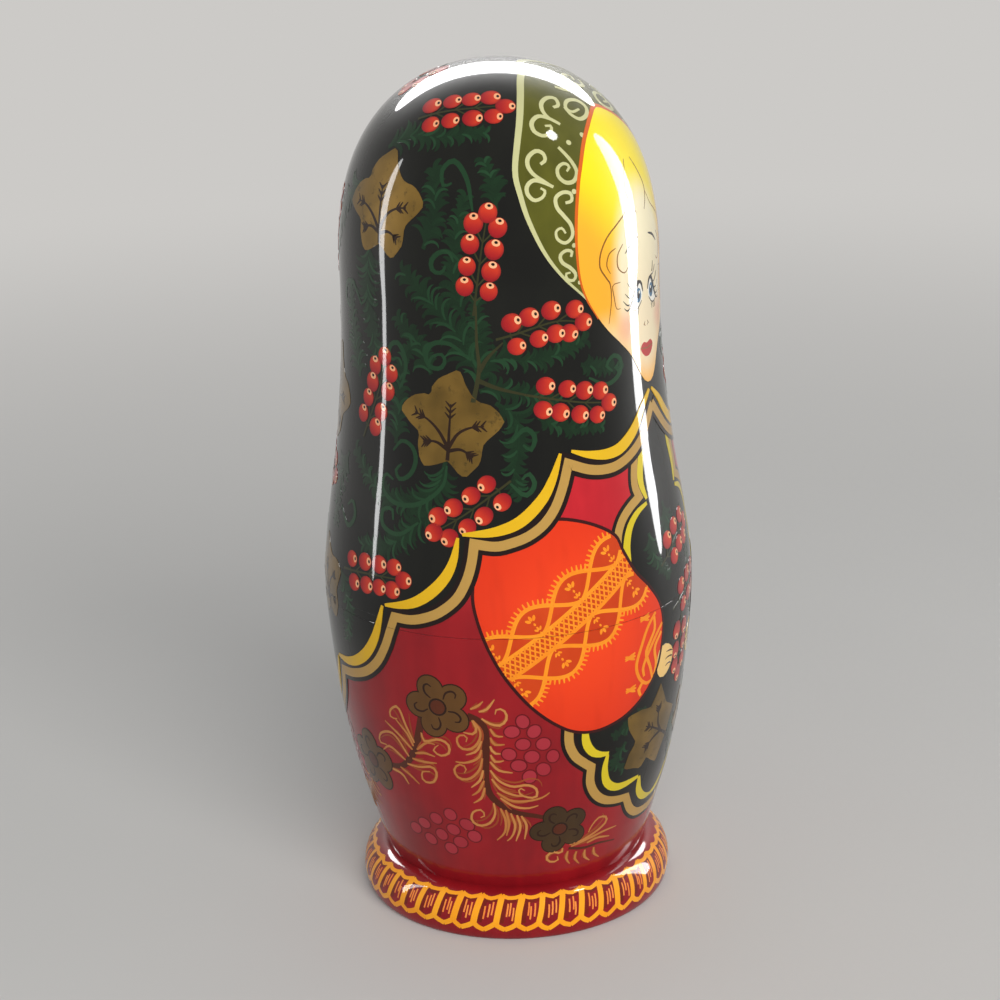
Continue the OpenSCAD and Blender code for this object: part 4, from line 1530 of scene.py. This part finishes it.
def cut_level(points, lifts, brush, faces, level, above):
    """The part of a layer above or below a level along the outline."""
    data = np.column_stack([points, lifts, brush])
    high = (points[:, 1] - level) * (1 if above else -1)
    keep = (high > 0)[faces]
    count = keep.sum(1)
    new, made, extra = [], {}, []

    def crossing(i, j):
        """The point where an edge meets the level."""
        key = (min(i, j), max(i, j))
        if key not in made:
            share = high[i] / (high[i] - high[j])
            made[key] = len(data) + len(new)
            new.append(data[i] + (data[j] - data[i]) * share)
        return made[key]

    cut = (count == 1) | (count == 2)
    for face, inner in zip(faces[cut], keep[cut]):
        alone = inner.sum() == 1
        k = int(np.argmax(inner) if alone else np.argmin(inner))
        i, j, m = face[k], face[(k + 1) % 3], face[(k + 2) % 3]
        if alone:
            extra.append((i, crossing(i, j), crossing(i, m)))
        else:
            a, b = crossing(j, i), crossing(m, i)
            extra += [(a, j, m), (a, m, b)]
    faces = np.vstack([faces[count == 3], np.array(extra).reshape(-1, 3)]).astype(int)
    used, index = np.unique(faces, return_inverse=True)
    data = np.vstack([data] + new)[used]
    return data[:, :2], data[:, 2], data[:, 3:], index.reshape(-1, 3)


SUNK, SEAM_SUNK = -0.04, -0.2
SEAM_CLEAR = 0.05


def with_edges(points, lifts, brush, faces):
    """A layer's faces with a narrow wall from every free edge down into the wood."""
    edges = np.vstack([faces[:, [0, 1]], faces[:, [1, 2]], faces[:, [2, 0]]])
    low_end, high_end = np.sort(edges, axis=1).T
    key = low_end * (len(points) + 1) + high_end
    _, index, count = np.unique(key, return_inverse=True, return_counts=True)
    free = edges[count[index] == 1]
    rim = np.unique(free)
    low = np.full(len(points), -1)
    low[rim] = np.arange(len(rim)) + len(points)
    at_seam = np.abs(points[rim, 1] - rise_at(SEAM_Z)) < 2 * SEAM_CLEAR
    a, b = free.T
    walls = np.vstack([np.column_stack([b, a, low[a]]), np.column_stack([b, low[a], low[b]])])
    return (
        np.vstack([points, points[rim]]),
        np.concatenate([lifts, np.where(at_seam, SEAM_SUNK, SUNK)]),
        np.vstack([brush, brush[rim]]),
        np.vstack([faces, walls]),
    )


LEAST_SPAN = 1e-6


def unrolled(points):
    """Places of points on an even map of the doll's skin, from 0 to 1."""
    span = np.maximum(np.ptp(points, axis=0), LEAST_SPAN)
    return (points - points.min(0)) / span


def new_mesh(name, places, faces, materials):
    """A smooth mesh in metres."""
    mesh = bpy.data.meshes.new(name)
    mesh.from_pydata(places.tolist(), [], faces)
    for material in materials:
        mesh.materials.append(material)
    mesh.polygons.foreach_set("use_smooth", np.ones(len(mesh.polygons), bool))
    return mesh


def add_map(mesh, uv):
    """The map that the finish is baked on, from each corner's place on it."""
    layer = mesh.uv_layers.new(name="OFBake")
    layer.uv.foreach_set("vector", np.array(uv, np.float32).ravel())


def add_object(name, data):
    """A new object in the scene."""
    ob = bpy.data.objects.new(name, data)
    bpy.context.scene.collection.objects.link(ob)
    return ob


class Stand:
    """A doll's size and the height it stands at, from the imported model."""

    def __init__(self, number):
        names = [f"doll_{number}"] if number == DOLLS else [f"doll_{number}_lower", f"doll_{number}_upper"]
        self.nodes = names
        self.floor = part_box(names[0])[0][2]
        self.share = (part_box(names[-1])[1][2] - self.floor) / (DOLL_H * MM)

    def place(self, places):
        return places * self.share * MM + (0, 0, self.floor)


def paint_piece(stand, body, paint, data):
    """One paint's films on one node."""
    points, lifts, brush, faces = with_edges(*data)
    places, normals = on_doll(points[:, 0], points[:, 1], lifts)
    name = f"{body}_{paint}"
    mesh = new_mesh(name, stand.place(places), faces.tolist(), [FINISHES[paint]])
    loops = np.empty(len(mesh.loops), np.int32)
    mesh.loops.foreach_get("vertex_index", loops)
    add_map(mesh, unrolled(points)[loops])
    attribute = mesh.attributes.new("brush", "FLOAT_VECTOR", "POINT")
    attribute.data.foreach_set("vector", brush.astype(np.float32).ravel())
    mesh.normals_split_custom_set_from_vertices(normals.tolist())
    ob = add_object(name, mesh)
    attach(ob, body)


def paint_doll(stand, painting):
    """Every layer of paint on one doll, cut at the seam."""
    halves = [
        (stand.nodes[0], "painted_lower", rise_at(SEAM_Z - SEAM_CLEAR), False),
        (stand.nodes[-1], "painted_upper", rise_at(SEAM_Z + SEAM_CLEAR), True),
    ]
    for paint, layer in painting.layers.items():
        data = layer.joined()
        if len(stand.nodes) == 1:
            paint_piece(stand, stand.nodes[0], paint, data)
            continue
        for node, slot, level, above in halves:
            half = cut_level(*data, level, above)
            if len(half[3]):
                paint_piece(stand, node, paint, half)


def thinned(t, share):
    """A thickness on a smaller doll."""
    return max(t * share, LEAST_WALL)


def lower_profile(share, steps):
    """Profile of a lower half in millimetres, and the first and last point of its painted stretch."""
    outer = OUTLINE[OUT_Z < SEAM_Z - SEAM_BEVEL]
    outer = outer[:: max(len(outer) // steps, 1)] * share
    seam, edge, lead = SEAM_Z * share, SEAM_BEVEL * share, SPIGOT_BEVEL * share
    spigot = BELLY_R * share - thinned(RIM_T, share) - FIT_GAP
    mouth = spigot - thinned(SPIGOT_T, share)
    floor, floor_r = thinned(FLOOR_T, share), ANKLE_R * share - thinned(ANKLE_WALL, share)
    top = (SEAM_Z + SPIGOT_H) * share
    rise = np.linspace(1, 0, HOLLOW_POINTS)
    hollow_r = floor_r + (mouth - floor_r) * smooth(SKIRT_SHARES, rise)
    hollow = np.column_stack([hollow_r, floor + (top - floor) * rise])
    under_seam = float(body_r(np.array(SEAM_Z - SEAM_BEVEL))) * share
    joint = [
        (under_seam, seam - edge), (BELLY_R * share - edge, seam),
        (spigot, seam), (spigot, top - lead), (spigot - lead, top),
    ]
    profile = np.vstack([[(0, 0)], outer, joint, hollow, [(0, floor)]])
    return profile, (1, len(outer) + 2)


def upper_profile(share, steps):
    """The same for an upper half, from the socket over the head and back down inside."""
    outer = OUTLINE[OUT_Z > SEAM_Z + SEAM_BEVEL]
    step = max(len(outer) // steps, 1)
    outer = np.vstack([outer[:-1:step], outer[-1:]]) * share
    seam, edge, head = SEAM_Z * share, SEAM_BEVEL * share, HEAD_Z * share
    socket = BELLY_R * share - thinned(RIM_T, share)
    start = (SEAM_Z + SPIGOT_H) * share + SOCKET_END_GAP
    wall = thinned(WALL, share)
    dome_rise = (DOLL_H - HEAD_Z) * share - thinned(CROWN_T, share)
    dome = crown(HEAD_R * share - wall, head, dome_rise, HOLLOW_POINTS)
    z = np.linspace(head, start, HOLLOW_POINTS)[1:]
    side = np.column_stack([body_r(z / share) * share - wall, z])
    over_seam = float(body_r(np.array(SEAM_Z + SEAM_BEVEL))) * share
    rim = [(BELLY_R * share - edge, seam), (over_seam, seam + edge)]
    profile = np.vstack([[(socket, seam)], rim, outer, dome[::-1], side, [(socket, start)]])
    return profile, (1, len(outer) + 2)


def solid_profile(share, steps):
    """The same for the solid doll."""
    outer = OUTLINE[:: max(len(OUTLINE) // steps, 1)]
    profile = np.vstack([[(0, 0)], outer, OUTLINE[-1:]]) * share
    return profile, (1, len(profile) - 1)


AXIS_R, MAP_MARGIN, SHARP_EDGE = 1e-6, 1.02, math.radians(34)


def turned_rows(profile, segments):
    """The points of a turned shape and, for each point of its profile, the row of points round the axis."""
    a = np.linspace(0, 2 * math.pi, segments, endpoint=False) + math.pi
    places, rows, count = [], [], 0
    for r, z in profile:
        if r == 0:
            ring = np.array([(0, 0, z)], float)
        else:
            ring = np.column_stack([r * np.sin(a), -r * np.cos(a), np.full(segments, z)])
        places.append(ring)
        rows.append(list(range(count, count + len(ring))))
        count += len(ring)
    return np.vstack(places), rows


def turned_corners(p, q, k, segments):
    """Corners of one face between two rows: row, place in it and turns round the axis on the map."""
    n = (k + 1) % segments
    if len(p) == 1:
        return [(0, 0, k + 0.5), (1, n, k + 1), (1, k, k)]
    if len(q) == 1:
        return [(0, k, k), (0, n, k + 1), (1, 0, k + 0.5)]
    return [(0, k, k), (0, n, k + 1), (1, n, k + 1), (1, k, k)]


def turned_body(stand, node, made, segments, materials):
    """The turned wood of a node, painted outside and bare inside."""
    profile, (start, end) = made
    profile[np.abs(profile[:, 0]) < AXIS_R, 0] = 0
    places, rows = turned_rows(profile, segments)
    along = np.concatenate([[0], np.cumsum(np.hypot(*np.diff(profile, axis=0).T))])
    along = along / (along[-1] * MAP_MARGIN)
    spans = [(i, i + 1) for i in range(len(rows) - 1)]
    if profile[0][0] > 0:
        spans.append((len(rows) - 1, 0))
    faces, slots, uv = [], [], []
    for span in spans:
        pair = [rows[i] for i in span]
        if len(pair[0]) == len(pair[1]) == 1:
            continue
        bare = 0 if start <= span[0] < span[1] <= end else 1
        for k in range(segments):
            corners = turned_corners(*pair, k, segments)
            faces.append([pair[i][place] for i, place, _ in corners])
            uv += [(turn / segments, along[span[i]]) for i, _, turn in corners]
            slots.append(bare)
    mesh = new_mesh(f"{node}_wood", places * MM + (0, 0, stand.floor), faces, materials)
    mesh.polygons.foreach_set("material_index", np.array(slots, np.int32))
    add_map(mesh, uv)
    mesh.set_sharp_from_angle(angle=SHARP_EDGE)
    ob = add_object(f"{node}_wood", mesh)
    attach(ob, node)
    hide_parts(node)


LOWER = (lower_profile, "dress_red", "painted_lower")
UPPER = (upper_profile, "shawl_black", "painted_upper")
SOLID = (solid_profile, "shawl_black", "painted_solid")


def build_doll(number, painting, segments, steps):
    """The wood and the paint of one doll."""
    stand = Stand(number)
    parts = [SOLID] if number == DOLLS else [LOWER, UPPER]
    for node, (profile, paint, slot) in zip(stand.nodes, parts):
        turned_body(stand, node, profile(stand.share, steps), segments, [FINISHES[paint], WOOD])
    paint_doll(stand, painting)


# Dolls that share a painting: its pen, gap and detail, then the wood's segments round and steps along
SIZES = [
    ((1,), (1.0, 1.0, 3), (192, 110)),
    ((2, 3), (1.2, 1.5, 2), (128, 90)),
    ((4, 5), (1.6, 2.2, 1), (96, 70)),
    ((6, 7), (2.2, 3.4, 0), (72, 60)),
]


def build_dolls():
    for numbers, brushes, turning in SIZES:
        painting = painted(*brushes)
        for number in numbers:
            build_doll(number, painting, *turning)


# Camera, floor and light
CAMERA_TURN = -61.5
CAMERA_FAR, CAMERA_UP = 0.54558, 0.28182
CAMERA_TILT, CAMERA_PAN, CAMERA_ROLL = 17.854, -0.166, -1.773
CAMERA_LENS, SENSOR, NEAREST = 79.2, 36.0, 0.01


def set_camera():
    """The camera at the photograph's viewing angle."""
    data = bpy.data.cameras.new("camera")
    data.lens, data.sensor_width, data.clip_start = CAMERA_LENS, SENSOR, NEAREST
    camera = add_object("camera", data)
    tilt, pan, roll = [math.radians(v) for v in (CAMERA_TILT, CAMERA_PAN, CAMERA_ROLL)]
    ahead = Vector((math.sin(pan) * math.cos(tilt), math.cos(pan) * math.cos(tilt), -math.sin(tilt)))
    level = Vector((math.cos(pan), -math.sin(pan), 0))
    upright = level.cross(ahead)
    right = math.cos(roll) * level + math.sin(roll) * upright
    up = -math.sin(roll) * level + math.cos(roll) * upright
    pose = Matrix((right, up, -ahead)).transposed().to_4x4()
    pose.translation = (0, -CAMERA_FAR, CAMERA_UP)
    camera.matrix_world = Matrix.Rotation(math.radians(CAMERA_TURN), 4, "Z") @ pose
    bpy.context.scene.camera = camera


def area_light(name, turn, far, height, size, power, aim=0.1, mirrored=True):
    """A soft lamp turned to the doll, which either lights it or is mirrored in its lacquer."""
    data = bpy.data.lights.new(name, "AREA")
    data.shape = "ELLIPSE" if mirrored else "RECTANGLE"
    data.size, data.size_y = size
    data.energy = power
    lamp = add_object(name, data)
    a = math.radians(turn)
    lamp.location = (math.sin(a) * far, -math.cos(a) * far, height)
    lamp.rotation_euler = (Vector((0, 0, aim)) - lamp.location).to_track_quat("-Z", "Y").to_euler()
    lamp.visible_camera = False
    lamp.visible_glossy = mirrored
    lamp.visible_diffuse = not mirrored


BACKDROP, SKY, SKY_LIGHT = "#cccac7", "#e9ebee", 0.42
FLOOR_REACH, FLOOR_LIT, FLOOR_EVEN = 6.0, 0.12, 1.1


def set_floor():
    """A pale floor, lit near the doll and of an even paleness further off."""
    f = Finish("floor_pale")
    f.set(Base_Color=f.mix(f.noise(6.0, 2.0), linear("#cfcdc9"), linear("#d4d2ce")), Roughness=0.9)
    f.set(Specular_IOR_Level=0.1)
    x, y, _ = f.parts(f.position())
    far = ((x * x + y * y) ** 0.5).between(FLOOR_LIT, FLOOR_EVEN)
    even_pale = f.node("ShaderNodeEmission", None, {"Color": linear(BACKDROP), "Strength": 1.0})
    inputs = {0: far * f.seen_ray(), 1: Value(f, f.shader.outputs[0]), 2: even_pale}
    f.feed(f.tree.nodes["Material Output"].inputs["Surface"], f.node("ShaderNodeMixShader", None, inputs))
    corners = np.array([(-1, -1, 0), (1, -1, 0), (1, 1, 0), (-1, 1, 0)]) * FLOOR_REACH
    floor = add_object("floor", new_mesh("floor", corners, [(0, 1, 2, 3)], [f.material]))


def set_world():
    """Soft, even light from all round, and the floor's own paleness behind the doll."""
    world = bpy.data.worlds.new("studio")
    world.use_nodes = True
    f = Nodes(world.node_tree)
    light = f.node("ShaderNodeBackground", None, {"Color": linear(SKY), "Strength": SKY_LIGHT})
    backdrop = f.node("ShaderNodeBackground", None, {"Color": linear(BACKDROP), "Strength": 1.0})
    shade = f.node("ShaderNodeMixShader", None, {0: f.seen_ray(), 1: light, 2: backdrop})
    f.feed(f.tree.nodes["World Output"].inputs["Surface"], shade)
    bpy.context.scene.world = world


def set_light():
    """One lamp that lights the doll and four cards that its lacquer mirrors."""
    area_light("fill", -44, 1.5, 0.95, (1.4, 1.0), 26, mirrored=False)
    area_light("right_card", 44, 0.46, 0.23, (0.13, 0.46), 3.2, 0.12)
    area_light("left_card", -149, 0.5, 0.23, (0.05, 0.46), 1.0, 0.12)
    area_light("top_card", 118, 1.0, 0.9, (1.7, 0.5), 44)
    area_light("small_card", 8, 0.6, 0.95, (0.12, 0.12), 1.6, 0.2)


bpy.context.scene.view_settings.view_transform = "Standard"
set_camera()
set_world()
set_floor()
set_light()
build_dolls()
